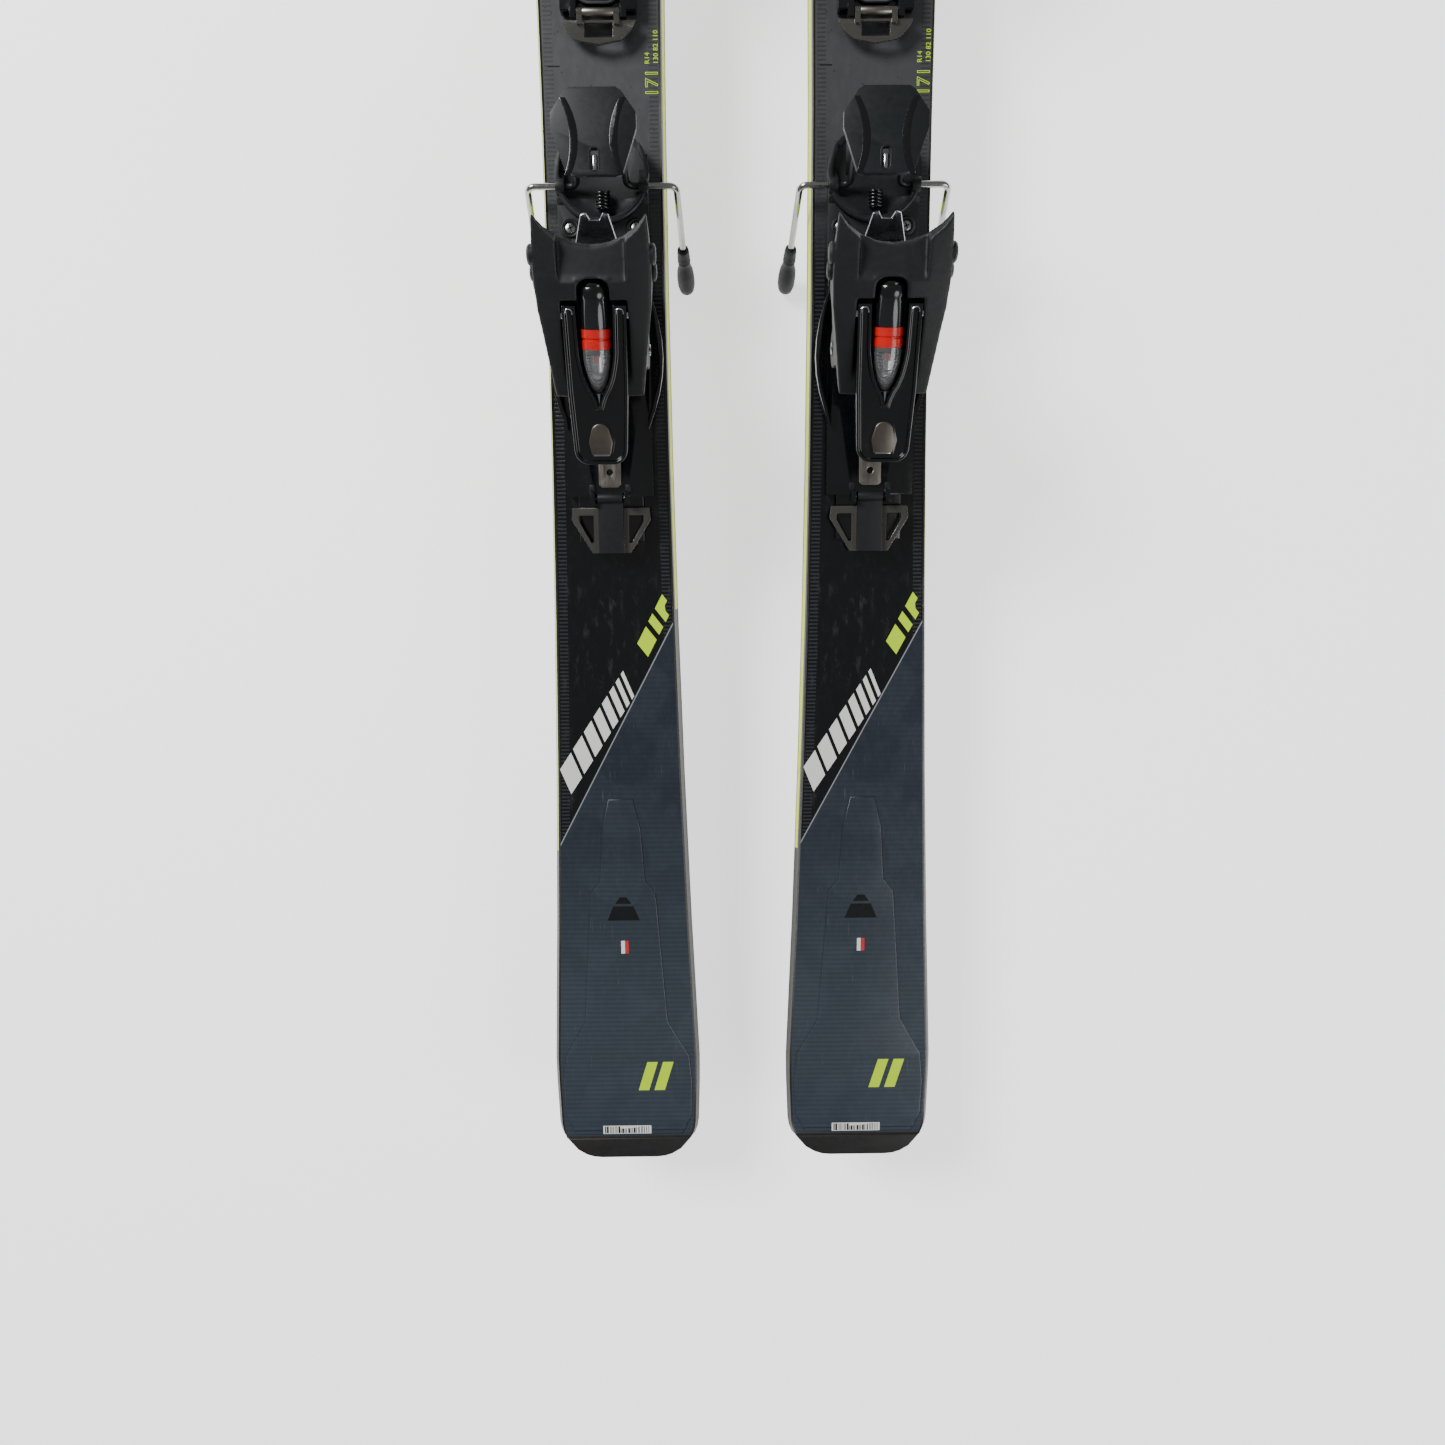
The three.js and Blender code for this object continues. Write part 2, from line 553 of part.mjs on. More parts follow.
// The heel's slider: a channel, the tower that carries the axle, and the two side loops.
function heelCarriage() {
  const half = HEEL_WIDTH / 2
  const body = channel(HEEL_WIDTH, heelRear, heelEnd - 2)
  const towerSide = new THREE.Shape()
  towerSide.moveTo(axleY - 18, deckTop - 1)
  towerSide.lineTo(axleY - 10, axleZ - 6)
  towerSide.absarc(axleY, axleZ, 11, Math.PI * 1.2, -Math.PI * 0.2, true)
  towerSide.lineTo(axleY + 18, deckTop - 1)
  const tower = across(towerSide, -CHEEK_INNER + GAP, CHEEK_INNER - GAP, 5)
  const loopTop = axleZ - CHEEK_DEPTH - GAP
  const loops = sides.map((side) => {
    const band = new THREE.Shape()
    const [root, outerEnd, innerEnd] = [side * (half - 2), LOOP_LENGTH / 2, LOOP_LENGTH / 2 - LOOP_BAND]
    band.moveTo(root, axleY - outerEnd)
    band.quadraticCurveTo(side * (2 * LOOP_BULGE - half + 2), axleY, root, axleY + outerEnd)
    band.lineTo(root, axleY + innerEnd)
    band.quadraticCurveTo(side * (2 * LOOP_BULGE - half - 4), axleY, root, axleY - innerEnd)
    return raised(band, railFoot + GAP, loopTop, 8)
  })
  const ears = sides.flatMap((side) => [
    box(side * 10, side * 13, heelRear - 5, heelRear + 3, deckTop - 2, deckTop + 8),
    pinX(1.5, side * 7, side * 11, heelHingeY, heelHingeZ, 8)])
  const spindleHole = pinX(HEEL_AXLE_RADIUS + 0.05, -30, 30, axleY, axleZ)
  return cut(join(body, tower, ...loops, ...ears), spindleHole)
}

function heelAxle() {
  return pinX(HEEL_AXLE_RADIUS - 0.25, -CHEEK_OUTER - 1, CHEEK_OUTER + 1, axleY, axleZ)
}

// The satin leaf on the deck that shows the forward pressure.
function pressureTab() {
  const half = TAB_WIDTH / 2
  const rear = heelRear + 6
  const plan = outline([
    [-half, rear + 2], [-half + 2, rear], [half - 2, rear], [half, rear + 2], [half, rear + TAB_LENGTH],
    [-half, rear + TAB_LENGTH]])
  const leaf = raised(plan, deckTop + GAP, deckTop + GAP + TAB_THICKNESS)
  return cut(leaf, pinZ(TAB_HOLE_RADIUS, deckTop, deckTop + 5, 0, rear + 10))
}

// The rear latch: a lever on the middle with a grip wing and its window on each side.
function heelLatch() {
  const half = HEEL_LATCH_HALF
  const front = heelRear - HEEL_LATCH_FRONT
  const rear = heelRear - HEEL_LATCH_REAR
  const foot = channelTop + GAP
  const lever = box(-half, half, rear, heelHingeY, foot, heelHingeZ)
  const barrel = pinX(3.2, -half, half, heelHingeY, heelHingeZ)
  const wings = sides.map((side) => {
    const wing = outline([[8, front], [26, front], [27, front - 8], [13, rear], [8, rear]]
      .map(([x, y]) => [side * x, y]))
    return raised(wing, foot, deckTop)
  })
  const windows = sides.map((side) => {
    const hole = outline([[12, front - 5], [22, front - 5], [22, front - 9], [14, rear + 7], [12, rear + 7]]
      .map(([x, y]) => [side * x, y]))
    return raised(hole, foot - 2, deckTop + 2)
  })
  const bores = pinX(1.9, -half - 0.5, half + 0.5, heelHingeY, heelHingeZ, 8)
  return cut(join(lever, barrel, ...wings), ...windows, bores)
}

// ---------------------------------------------------------------- the brake

// The brake's base on the rail: a deck, a round well wall, two bearing cheeks and two screw pockets.
function brakeBase() {
  const centre = brakeY + WELL_AHEAD
  const half = HEEL_WIDTH / 2
  const rear = heelEnd - 1.5
  const body = channel(HEEL_WIDTH + 1, rear, centre + 12)
  const wall = WELL_RADIUS + WELL_WALL
  const cheekInner = half - 5
  const high = pinZ(wall, channelTop, deckTop + 5, 0, centre, 24)
  const cheekSide = new THREE.Shape()
  cheekSide.moveTo(brakeY - 11, deckTop - 1)
  cheekSide.lineTo(brakeY - 7, BRAKE_AXLE_HEIGHT)
  cheekSide.absarc(brakeY, BRAKE_AXLE_HEIGHT, BEARING_RADIUS, Math.PI, 0, true)
  cheekSide.lineTo(brakeY + 11, deckTop - 1)
  const cheekOuter = cheekInner + BEARING_WALL
  const cheeks = sides.map((side) => across(cheekSide, side * cheekInner, side * cheekOuter, 5))
  const well = pinZ(WELL_RADIUS, deckTop - 1.2, 60, 0, centre, 24)
  const wellFloor = box(-18, 18, centre - 1, centre + 40, railFoot, 60)
  const pockets = sides.map((side) => pinZ(4.5, channelTop + 1.4, 40, side * 20.5, heelEnd + 10, 10))
  const bore = pinX(WIRE_RADIUS + 0.4, -40, 40, brakeY, BRAKE_AXLE_HEIGHT, 8)
  const crankRoom = box(-cheekInner, cheekInner, brakeY - 6, brakeY + 40, deckTop, 60)
  return cut(join(cut(join(body, high), well, wellFloor, crankRoom), ...cheeks), ...pockets, bore)
}

const dropped = radians(ARM_DROP)
const armDirection = new THREE.Vector3(ARM_SPLAY / ARM_LENGTH, -Math.cos(dropped), -Math.sin(dropped))
  .normalize()
const armPoint = (side, distance) => new THREE.Vector3(
  side * (ARM_SPREAD + armDirection.x * distance),
  brakeY + armDirection.y * distance,
  BRAKE_AXLE_HEIGHT + armDirection.z * distance)

// One bent wire: down one arm, in through the cheek, up and over the crank, and out again.
function brakeWire() {
  const reach = ARM_LENGTH - TIP_BORE_END - 1
  const corner = (side, x, ahead, up) => new THREE.Vector3(side * x, brakeY + ahead, BRAKE_AXLE_HEIGHT + up)
  const half = (side) => [
    armPoint(side, reach), armPoint(side, 30), armPoint(side, 7), corner(side, ARM_SPREAD - 5, 0, 0),
    corner(side, 34, 0, 0), corner(side, 22, 0, 0), corner(side, 16, 1.5, 2),
    corner(side, CRANK_HALF, CRANK_AHEAD * 0.3, CRANK_RISE * 0.3),
    corner(side, CRANK_HALF, CRANK_AHEAD * 0.8, CRANK_RISE * 0.8),
    corner(side, CRANK_HALF - 3, CRANK_AHEAD, CRANK_RISE),
    corner(side, CRANK_HALF - 6.5, CRANK_AHEAD, CRANK_RISE)]
  const route = new THREE.CatmullRomCurve3([...half(-1), ...half(1).reverse()], false, 'centripetal')
  const section = new THREE.Shape().absarc(0, 0, WIRE_RADIUS, 0, Math.PI * 2)
  const settings = { steps: 50, bevelEnabled: false, extrudePath: route, curveSegments: 3 }
  return new THREE.ExtrudeGeometry(section, settings)
}

// The moulded end of one arm: a long neck and a fat tip, bored for the wire.
function brakeTip(side) {
  const bore = TIP_BORE_RADIUS
  const profile = [[0, 0], [5.5, 0.8], [TIP_RADIUS - 0.2, 5], [TIP_RADIUS, 20], [5, 25], [4.6, TIP_LENGTH],
    [bore, TIP_LENGTH], [bore, TIP_BORE_END], [0, TIP_BORE_END]]
  const points = profile.map(([radius, y]) => new THREE.Vector2(radius, y))
  const shape = new THREE.LatheGeometry(points, 10)
  const direction = armDirection.clone().multiply(new THREE.Vector3(side, 1, 1)).negate()
  shape.applyQuaternion(new THREE.Quaternion().setFromUnitVectors(new THREE.Vector3(0, 1, 0), direction))
  const end = armPoint(side, ARM_LENGTH)
  return shape.translate(end.x, end.y, end.z)
}

// The pedal: an eight-sided plate with a slot, and two hooks under it round the crank.
function brakePedal() {
  const crankY = brakeY + CRANK_AHEAD
  const crankZ = BRAKE_AXLE_HEIGHT + CRANK_RISE
  const top = crankZ + PEDAL_TOP
  const halfPlan = [[13.7, 20], [17, 18], [25.7, 6], [25.7, -3], [17.5, -27], [12, -29]]
  const mirrored = halfPlan.map(([x, y]) => [-x, y]).reverse()
  const plan = outline([...halfPlan, ...mirrored].map(([x, y]) => [x, crankY + y]))
  const slot = box(-2.2, 2.2, crankY - 26, crankY - 14, 0, 100)
  const hooks = sides.map((side) => box(side * 2, side * 7, crankY - 5, crankY + 5, crankZ - 1, top - 2))
  const wireBore = pinX(WIRE_RADIUS + GAP, -12, 12, crankY, crankZ, 10)
  return cut(join(raised(plan, top - PEDAL_THICKNESS, top), ...hooks), slot, wireBore)
}

// ---------------------------------------------------------------- the toe

const towerRear = toeEnd + 2
const towerFront = toeEnd + TOWER_AHEAD
const wingPinY = toeEnd + WING_PIN_AHEAD
const shelfTop = SOLE_HEIGHT + SHELF_RISE
const ledgeTop = SOLE_HEIGHT + TOE_LEDGE
const roofFoot = ledgeTop + ROOF_RISE
const ribY = toeEnd - RIB_BACK
const ribTop = SOLE_HEIGHT - 3

// The toe's slider: a channel, the rib under the sole plate, and the tower with its shelf and roof.
function toeHousing() {
  const rearHalf = RAIL_HEAD / 2 + GAP + TOE_CLAW
  const body = channel(2 * rearHalf, toeRear, towerFront)
  const rib = box(-16, 16, ribY - RIB_HALF, ribY + RIB_HALF, deckTop - 1, ribTop)
  const towerSide = outline([
    [towerRear + 2, deckTop - 1], [towerRear + 2, ledgeTop + 2], [towerRear - 10, ledgeTop + 2],
    [towerRear - 10, ledgeTop + 8], [towerRear + 8, TOWER_HEIGHT], [towerFront - 30, TOWER_HEIGHT + 2],
    [towerFront - 8, TOWER_HEIGHT - 14], [towerFront, deckTop + 8], [towerFront, deckTop - 1]])
  const half = TOWER_WIDTH / 2
  const plan = new THREE.Shape()
  plan.moveTo(-16, towerRear - 12)
  plan.lineTo(-half, towerRear + 4)
  plan.lineTo(-half, wingPinY + 8)
  plan.quadraticCurveTo(-half, towerFront - 10, -12, towerFront)
  plan.lineTo(12, towerFront)
  plan.quadraticCurveTo(half, towerFront - 10, half, wingPinY + 8)
  plan.lineTo(half, towerRear + 4)
  plan.lineTo(16, towerRear - 12)
  const tower = common(across(towerSide, -half, half), raised(plan, deckTop - 1, TOWER_HEIGHT + 10, 5))
  const wingRooms = sides.map((side) => (
    box(side * 16, side * 60, towerRear - 30, wingPinY + 11, shelfTop, roofFoot)))
  const underShelf = sides.map((side) => (
    box(side * rearHalf, side * 60, towerRear - 30, towerFront + 5, 0, deckTop + 4)))
  const wingBores = sides.map((side) => (
    pinZ(WING_PIN_RADIUS + GAP, shelfTop - 4, roofFoot + 4, side * WING_PIN_SPREAD, wingPinY, 10)))
  const screwBore = pinY(WING_PIN_RADIUS + GAP, towerFront - 26, towerFront + 10, 0, RELEASE_SCREW_HEIGHT)
  const notchHalf = LUG_OUTER + GAP
  const latchNotch = box(-notchHalf, notchHalf, toeRear - 5, toeRear + 5, 0, 60)
  const ears = sides.flatMap((side) => [
    box(side * 14, side * 18, toeRear - 5, toeRear + 2, railNeckTop + 1, latchHingeZ + 2),
    pinX(1.4, side * 11.5, side * 15, latchHingeY, latchHingeZ, 8)])
  const railRoom = box(-RAIL_HEAD / 2 - GAP, RAIL_HEAD / 2 + GAP, toeRear - 10, toeRear + 3, 0, channelTop)
  const boot = pinZ(BOOT_RADIUS + 0.5, SOLE_HEIGHT, ledgeTop + 0.5, 0, toeEnd - BOOT_RADIUS, 24)
  const hollowed = cut(join(body, rib, tower), ...wingRooms, ...underShelf, latchNotch)
  return cut(join(hollowed, ...ears.map((ear) => cut(ear, railRoom))), ...wingBores, screwBore, boot)
}

// One wing: a boss on the pin and a hooked arm along the boot's toe.
function toeWing(side) {
  const plan = new THREE.Shape()
  const at = (x, y) => [side * x, toeEnd + y]
  plan.moveTo(...at(19, 20))
  plan.lineTo(...at(22, 24))
  plan.lineTo(...at(29, 24))
  plan.quadraticCurveTo(...at(38, 10), ...at(39, -16))
  plan.lineTo(...at(35, -21))
  plan.lineTo(...at(32.5, -18))
  plan.quadraticCurveTo(...at(32, -6), ...at(19, 8))
  const low = shelfTop + GAP
  const high = roofFoot - GAP
  const pin = pinZ(WING_PIN_RADIUS, shelfTop - 3, roofFoot + 3, side * WING_PIN_SPREAD, wingPinY, 10)
  const boot = pinZ(BOOT_RADIUS + 1, 0, 100, 0, toeEnd - BOOT_RADIUS, 24)
  return join(cut(raised(plan, low, high, 5), boot), pin)
}

// The low-friction plate under the toe, which slides across on the rib.
function solePlate() {
  const half = AFD_WIDTH / 2
  const foot = deckTop + 1
  const plan = outline([
    [-half + 3, toeEnd - 46], [half - 3, toeEnd - 46], [half, toeEnd - 40], [half, toeEnd - 14],
    [half - 5, toeEnd - 8], [-half + 5, toeEnd - 8], [-half, toeEnd - 14], [-half, toeEnd - 40]])
  const room = RIB_HALF + GAP
  const groove = box(-40, 40, ribY - room, ribY + room, 0, ribTop + GAP)
  return cut(raised(plan, foot, SOLE_HEIGHT), groove)
}

function toeScrew() {
  const [shank, head] = [WING_PIN_RADIUS, RELEASE_HEAD_RADIUS]
  const points = [[0, -22], [shank, -22], [shank, 0.6], [head, 0.6], [head, 6], [0, 6]]
    .map(([radius, y]) => new THREE.Vector2(radius, y))
  const body = new THREE.LatheGeometry(points, 12).translate(0, towerFront, RELEASE_SCREW_HEIGHT)
  const [slotFoot, slotTop] = [RELEASE_SCREW_HEIGHT - 0.8, RELEASE_SCREW_HEIGHT + 0.8]
  return cut(body, box(-5, 5, towerFront + 4, towerFront + 10, slotFoot, slotTop))
}

// The smoky loop that frees the toe on its rail: two lugs on the hinge and a finger hole.
function toeLatch() {
  const front = toeRear - 6
  const rear = toeRear - 20
  const half = LATCH_WIDTH / 2
  const plan = new THREE.Shape()
  plan.moveTo(-half, front)
  plan.quadraticCurveTo(-half + 3, front - 7, -14, rear + 2.5)
  plan.lineTo(0, rear)
  plan.lineTo(14, rear + 2.5)
  plan.quadraticCurveTo(half - 3, front - 7, half, front)
  const low = railTop + GAP
  const high = latchHingeZ + 2
  const lugs = sides.map((side) => box(side * LUG_INNER, side * LUG_OUTER, front - 3, latchHingeY, low, high))
  const roller = pinX(LATCH_ROLLER, -LUG_OUTER, LUG_OUTER, latchHingeY, latchHingeZ)
  const finger = box(-FINGER_HALF, FINGER_HALF, rear + 4, front - 1.5, 0, 60)
  const bore = cut(pinX(1.8, -20, 20, latchHingeY, latchHingeZ, 8), box(-9.5, 9.5, 0, 2000, 0, 100))
  return cut(join(raised(plan, low, deckTop - 1, 4), ...lugs, roller), finger, bore)
}

// ---------------------------------------------------------------- one ski, and the pair

function ski(prefix) {
  const named = (name, shape, material) => piece(`${prefix}_${name}`, shape, material)
  const group = new THREE.Group()
  group.add(
    named('base_sheet', runningBase(), blackBase),
    named('steel_edge', steelEdge(), edgeSteel),
    named('core', core(), wood),
    named('sidewall_left', sidewall(-1), neon),
    named('sidewall_right', sidewall(1), neon),
    named('topsheet', topsheet(), graphic),
    named('tail_guard', tailGuard(), mattBlack),
    named('toe_rail', rail(toeRear + 2, toeRear + 2 + TOE_RAIL_LENGTH), glossBlack),
    named('toe_housing', toeHousing(), glossBlack),
    named('toe_wing_left', toeWing(-1), glossBlack),
    named('toe_wing_right', toeWing(1), glossBlack),
    named('toe_sole_plate', solePlate(), mattBlack),
    named('toe_screw', toeScrew(), brightSteel),
    named('toe_latch', toeLatch(), smoke),
    named('heel_rail', rail(heelRear - 30, heelRear - 30 + HEEL_RAIL_LENGTH), glossBlack),
    named('heel_carriage', heelCarriage(), glossBlack),
    named('heel_axle', heelAxle(), brightSteel),
    named('heel_pressure_tab', pressureTab(), satinSteel),
    named('heel_latch', heelLatch(), smoke),
    named('brake_base', brakeBase(), mattBlack),
    named('brake_wire', brakeWire(), brightSteel),
    named('brake_tip_left', brakeTip(-1), mattBlack),
    named('brake_tip_right', brakeTip(1), mattBlack),
    named('brake_pedal', brakePedal(), mattBlack),
    inAxleFrame(
      named('heel_cup', heelCup(), mattBlack),
      named('heel_tongue', tongue(), brightSteel),
      named('heel_barrel', springBarrel(), clear),
      named('heel_indicator', indicator(), red),
      named('heel_screw', heelScrew(), mattBlack),
      named('heel_lever', heelLever(), glossBlack)))
  return group
}

const pair = new THREE.Group()
for (const side of sides) {
  const one = ski(side < 0 ? 'left' : 'right')
  one.position.set((side * SKI_SPACING) / 2, -SKI_LENGTH / 2, 0)
  pair.add(one)
}
const lowest = new THREE.Box3().setFromObject(pair, true).min.z
for (const one of pair.children) one.position.z = -lowest

export default pair
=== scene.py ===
import json
import math
import random
from types import SimpleNamespace

import bmesh
import bpy
from mathutils import Matrix, Vector
from mathutils.bvhtree import BVHTree


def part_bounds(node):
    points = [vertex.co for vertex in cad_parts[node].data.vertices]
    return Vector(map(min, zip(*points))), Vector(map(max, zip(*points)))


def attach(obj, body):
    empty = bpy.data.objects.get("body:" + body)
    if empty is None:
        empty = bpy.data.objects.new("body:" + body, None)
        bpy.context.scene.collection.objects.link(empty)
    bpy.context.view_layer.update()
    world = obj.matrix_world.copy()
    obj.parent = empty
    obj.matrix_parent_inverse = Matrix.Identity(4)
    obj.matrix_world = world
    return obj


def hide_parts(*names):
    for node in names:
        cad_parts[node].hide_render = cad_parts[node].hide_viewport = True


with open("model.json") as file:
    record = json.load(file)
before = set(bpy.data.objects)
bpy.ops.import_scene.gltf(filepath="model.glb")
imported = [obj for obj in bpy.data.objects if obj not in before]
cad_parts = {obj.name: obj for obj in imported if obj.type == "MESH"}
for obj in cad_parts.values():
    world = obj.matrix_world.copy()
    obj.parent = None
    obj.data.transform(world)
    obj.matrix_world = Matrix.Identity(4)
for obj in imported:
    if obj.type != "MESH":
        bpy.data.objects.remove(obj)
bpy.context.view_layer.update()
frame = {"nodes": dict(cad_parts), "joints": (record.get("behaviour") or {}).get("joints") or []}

# Shapes are modelled in millimetres in one ski's own frame: x from its centre line, y from its
# tail end, z from its running base. SKI_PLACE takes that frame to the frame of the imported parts.
MM = 0.001
SKIS = ("left", "right")
HALVES = (-1, 1)
SIDES = tuple(zip(HALVES, ("left", "right")))


def ski_place(ski):
    """From a ski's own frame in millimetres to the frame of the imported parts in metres."""
    base_low, base_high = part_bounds(f"{ski}_base_sheet")
    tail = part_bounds(f"{ski}_tail_guard")[0].y
    middle = (base_low.x + base_high.x) / 2
    return Matrix.Translation((middle, tail, base_low.z)) @ Matrix.Scale(MM, 4)


SKI_PLACE = {ski: ski_place(ski) for ski in SKIS}


def part_box(node):
    """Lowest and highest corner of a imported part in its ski's own frame."""
    back = SKI_PLACE["left"].inverted()
    low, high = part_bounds(f"left_{node}")
    return back @ low, back @ high


def joint_place(name):
    """Where a joint's axis is, in the ski's own frame."""
    pos = next(j["pos_m"] for j in frame["joints"] if j["name"] == f"left_{name}")
    return SKI_PLACE["left"].inverted() @ Vector(pos)


# ------------------------------------------------------------------ finishes

MATH = "ShaderNodeMath"
MAPPING = "ShaderNodeMapping"
NOISE = "ShaderNodeTexNoise"
WAVE = "ShaderNodeTexWave"
RANGE = "ShaderNodeMapRange"
MIX = "ShaderNodeMix"
BUMP = "ShaderNodeBump"
ADD = {"operation": "ADD"}
SUBTRACT = {"operation": "SUBTRACT"}
MULTIPLY = {"operation": "MULTIPLY"}
MULTIPLY_ADD = {"operation": "MULTIPLY_ADD"}
ABSOLUTE = {"operation": "ABSOLUTE"}
GREATER = {"operation": "GREATER_THAN"}
LESS = {"operation": "LESS_THAN"}
SMOOTH = {"interpolation_type": "SMOOTHSTEP"}
COLOURS = {"data_type": "RGBA"}
BANDS_X = {"bands_direction": "X"}
BANDS_Y = {"bands_direction": "Y"}
WAVE_PITCH = 0.314  # distance from band to band of a wave texture at scale 1


def linear(code):
    """An sRGB hex colour as linear RGBA."""
    parts = [int(code[i:i + 2], 16) / 255 for i in (1, 3, 5)]
    return (*(p / 12.92 if p <= 0.04045 else ((p + 0.055) / 1.055) ** 2.4 for p in parts), 1.0)


def output_of(value):
    """A node's first output in use, or an output itself."""
    if isinstance(value, bpy.types.Node):
        return next(o for o in value.outputs if o.enabled)
    return value


def add(tree, kind, settings, inputs):
    """A node with its settings, and its inputs either set or linked."""
    node = tree.nodes.new(kind)
    for key, value in settings.items():
        setattr(node, key, value)
    for key, value in inputs.items():
        if isinstance(value, (bpy.types.Node, bpy.types.NodeSocket)):
            tree.links.new(output_of(value), node.inputs[key])
        else:
            node.inputs[key].default_value = value
    return node


def finish(name, colour, roughness, origin=(0, 0, 0), **sockets):
    """A material with its shader, and the place on the object in mm from an origin in metres."""
    material = bpy.data.materials.new(name)
    material.use_nodes = True
    tree = material.node_tree
    shader = tree.nodes["Principled BSDF"]
    shader.inputs["Base Color"].default_value = linear(colour)
    shader.inputs["Roughness"].default_value = roughness
    for socket, value in sockets.items():
        shader.inputs[socket.replace("_", " ")].default_value = value
    where = add(tree, "ShaderNodeTexCoord", {}, {})
    shift = tuple(-c / MM for c in origin)
    place = add(tree, MAPPING, {},
                {"Vector": where.outputs["Object"], "Scale": (1 / MM,) * 3, "Location": shift})
    return SimpleNamespace(material=material, tree=tree, shader=shader, place=place)


def feed(f, socket, value):
    """Links a node or an output to a socket of a finish's shader."""
    f.tree.links.new(output_of(value), f.shader.inputs[socket])


def moulded(name, colour, pale, roughness, grain=0.5, depth=0.02, spread=0.07, **sockets):
    """Moulded plastic: drifting colour, a spark-eroded grain, and handling marks in the gloss."""
    f = finish(name, colour, roughness, **sockets)
    drift = add(f.tree, NOISE, {}, {"Vector": f.place, "Scale": 1 / 16, "Detail": 4.0})
    feed(f, "Base Color", add(f.tree, MIX, COLOURS, {0: drift, 6: linear(colour), 7: linear(pale)}))
    marks = add(f.tree, NOISE, {}, {"Vector": f.place, "Scale": 1 / 3.5, "Detail": 6.0, "Roughness": 0.65})
    gloss = add(f.tree, RANGE, {}, {0: marks, 1: 0.3, 2: 0.7, 3: roughness - spread, 4: roughness + spread})
    feed(f, "Roughness", gloss)
    fine = add(f.tree, NOISE, {}, {"Vector": f.place, "Scale": 1 / grain, "Detail": 2.0})
    feed(f, "Normal", add(f.tree, BUMP, {}, {"Height": fine, "Distance": depth * MM, "Strength": 1.0}))
    return f.material


def metal(name, colour, dull, roughness, lines=(1.0, 1.0, 1.0), spread=0.08, depth=0.004):
    """Bare metal: fine lines along the axis with the smallest figure, with worn and dull patches."""
    f = finish(name, colour, roughness, Metallic=1.0)
    along = add(f.tree, MAPPING, {}, {"Vector": f.place, "Scale": lines})
    stroke = add(f.tree, NOISE, {}, {"Vector": along, "Scale": 1.6, "Detail": 4.0})
    patch = add(f.tree, NOISE, {}, {"Vector": f.place, "Scale": 1 / 7, "Detail": 5.0})
    feed(f, "Base Color", add(f.tree, MIX, COLOURS, {0: patch, 6: linear(colour), 7: linear(dull)}))
    gloss = add(f.tree, RANGE, {}, {0: stroke, 1: 0.3, 2: 0.7, 3: roughness - spread, 4: roughness + spread})
    feed(f, "Roughness", gloss)
    feed(f, "Normal", add(f.tree, BUMP, {}, {"Height": stroke, "Distance": depth * MM, "Strength": 1.0}))
    return f.material


# Spark-eroded, glass-filled nylon: a dull black with a fine leathery grain that greys in the light.
NYLON = moulded("glass_filled_nylon_black", "#0d0e10", "#17191b", 0.52, grain=0.9, depth=0.035,
                Specular_IOR_Level=0.4)
# Smoother nylon of the pedal and the collar: charcoal with a soft, even sheen.
SATIN_NYLON = moulded("satin_nylon_charcoal", "#101316", "#191d20", 0.43, grain=0.7, depth=0.012,
                      Specular_IOR_Level=0.4)
# Polished-mould acetal: black and glossy, with hairline rub marks in the gloss.
ACETAL = moulded("acetal_gloss_black", "#050608", "#0b0c0f", 0.17, grain=2.4, depth=0.006, Coat_Weight=0.3)
# Smoke-tinted polycarbonate: a see-through grey with bright edges.
SMOKE = moulded("polycarbonate_smoke", "#5d5b56", "#75736c", 0.16, grain=3.0, depth=0.006,
                Transmission_Weight=0.7, IOR=1.585)
# Injection-moulded clear polycarbonate of the scale tube: what is inside shows, between bright edges.
CLEAR = moulded("polycarbonate_clear", "#e6e8ea", "#f4f5f6", 0.06, grain=4.0, depth=0.003, spread=0.03,
                Transmission_Weight=0.92, IOR=1.585)
# Deep smoke polycarbonate over the spring: nearly black, with the coils just showing.
DARK_SMOKE = moulded("polycarbonate_deep_smoke", "#15161a", "#1e2025", 0.12, grain=3.0, depth=0.004,
                     spread=0.04, Transmission_Weight=0.35, IOR=1.585)
# ABS dyed red, of the setting sleeve: a strong even red with a shine.
RED = moulded("abs_red", "#b40d08", "#cf180e", 0.3, grain=1.5, depth=0.006, Coat_Weight=0.3)
# Soft thermoplastic of the brake ends: a dull black scuffed by snow.
BRAKE_RUBBER = moulded("thermoplastic_brake_black", "#17181a", "#232527", 0.62, grain=0.8, depth=0.04)
# Pad print in white, grey, black, neon and red inks, with the faint orange peel of a screen-printed film.
WHITE_INK = moulded("printed_ink_white", "#d9dad6", "#e9e9e6", 0.36, grain=1.1, depth=0.006)
GREY_INK = moulded("printed_ink_grey", "#8a8d92", "#9da0a4", 0.36, grain=1.1, depth=0.006)
# The black ink also serves as painted shade in the cross-shaped hollows of the screw heads.
DARK_INK_AND_SHADE = moulded("printed_ink_black", "#0a0b0e", "#14161a", 0.28, grain=1.1, depth=0.006)
NEON_INK = moulded("printed_ink_neon", "#bfe600", "#cdf200", 0.4, grain=1.1, depth=0.006)
RED_INK = moulded("printed_ink_red", "#b3262a", "#c4393c", 0.36, grain=1.1, depth=0.006)
# Spring steel wire, drawn and tumbled: bright with long soft reflections.
WIRE = metal("spring_steel_tumbled", "#b9bab8", "#8f908d", 0.2, lines=(0.6, 0.1, 0.1))
# Stamped and polished steel of the tongue: near mirror, with faint lines along it.
POLISHED = metal("stamped_steel_polished", "#c3c5c8", "#9b9da1", 0.16, lines=(1.0, 0.3, 1.0))
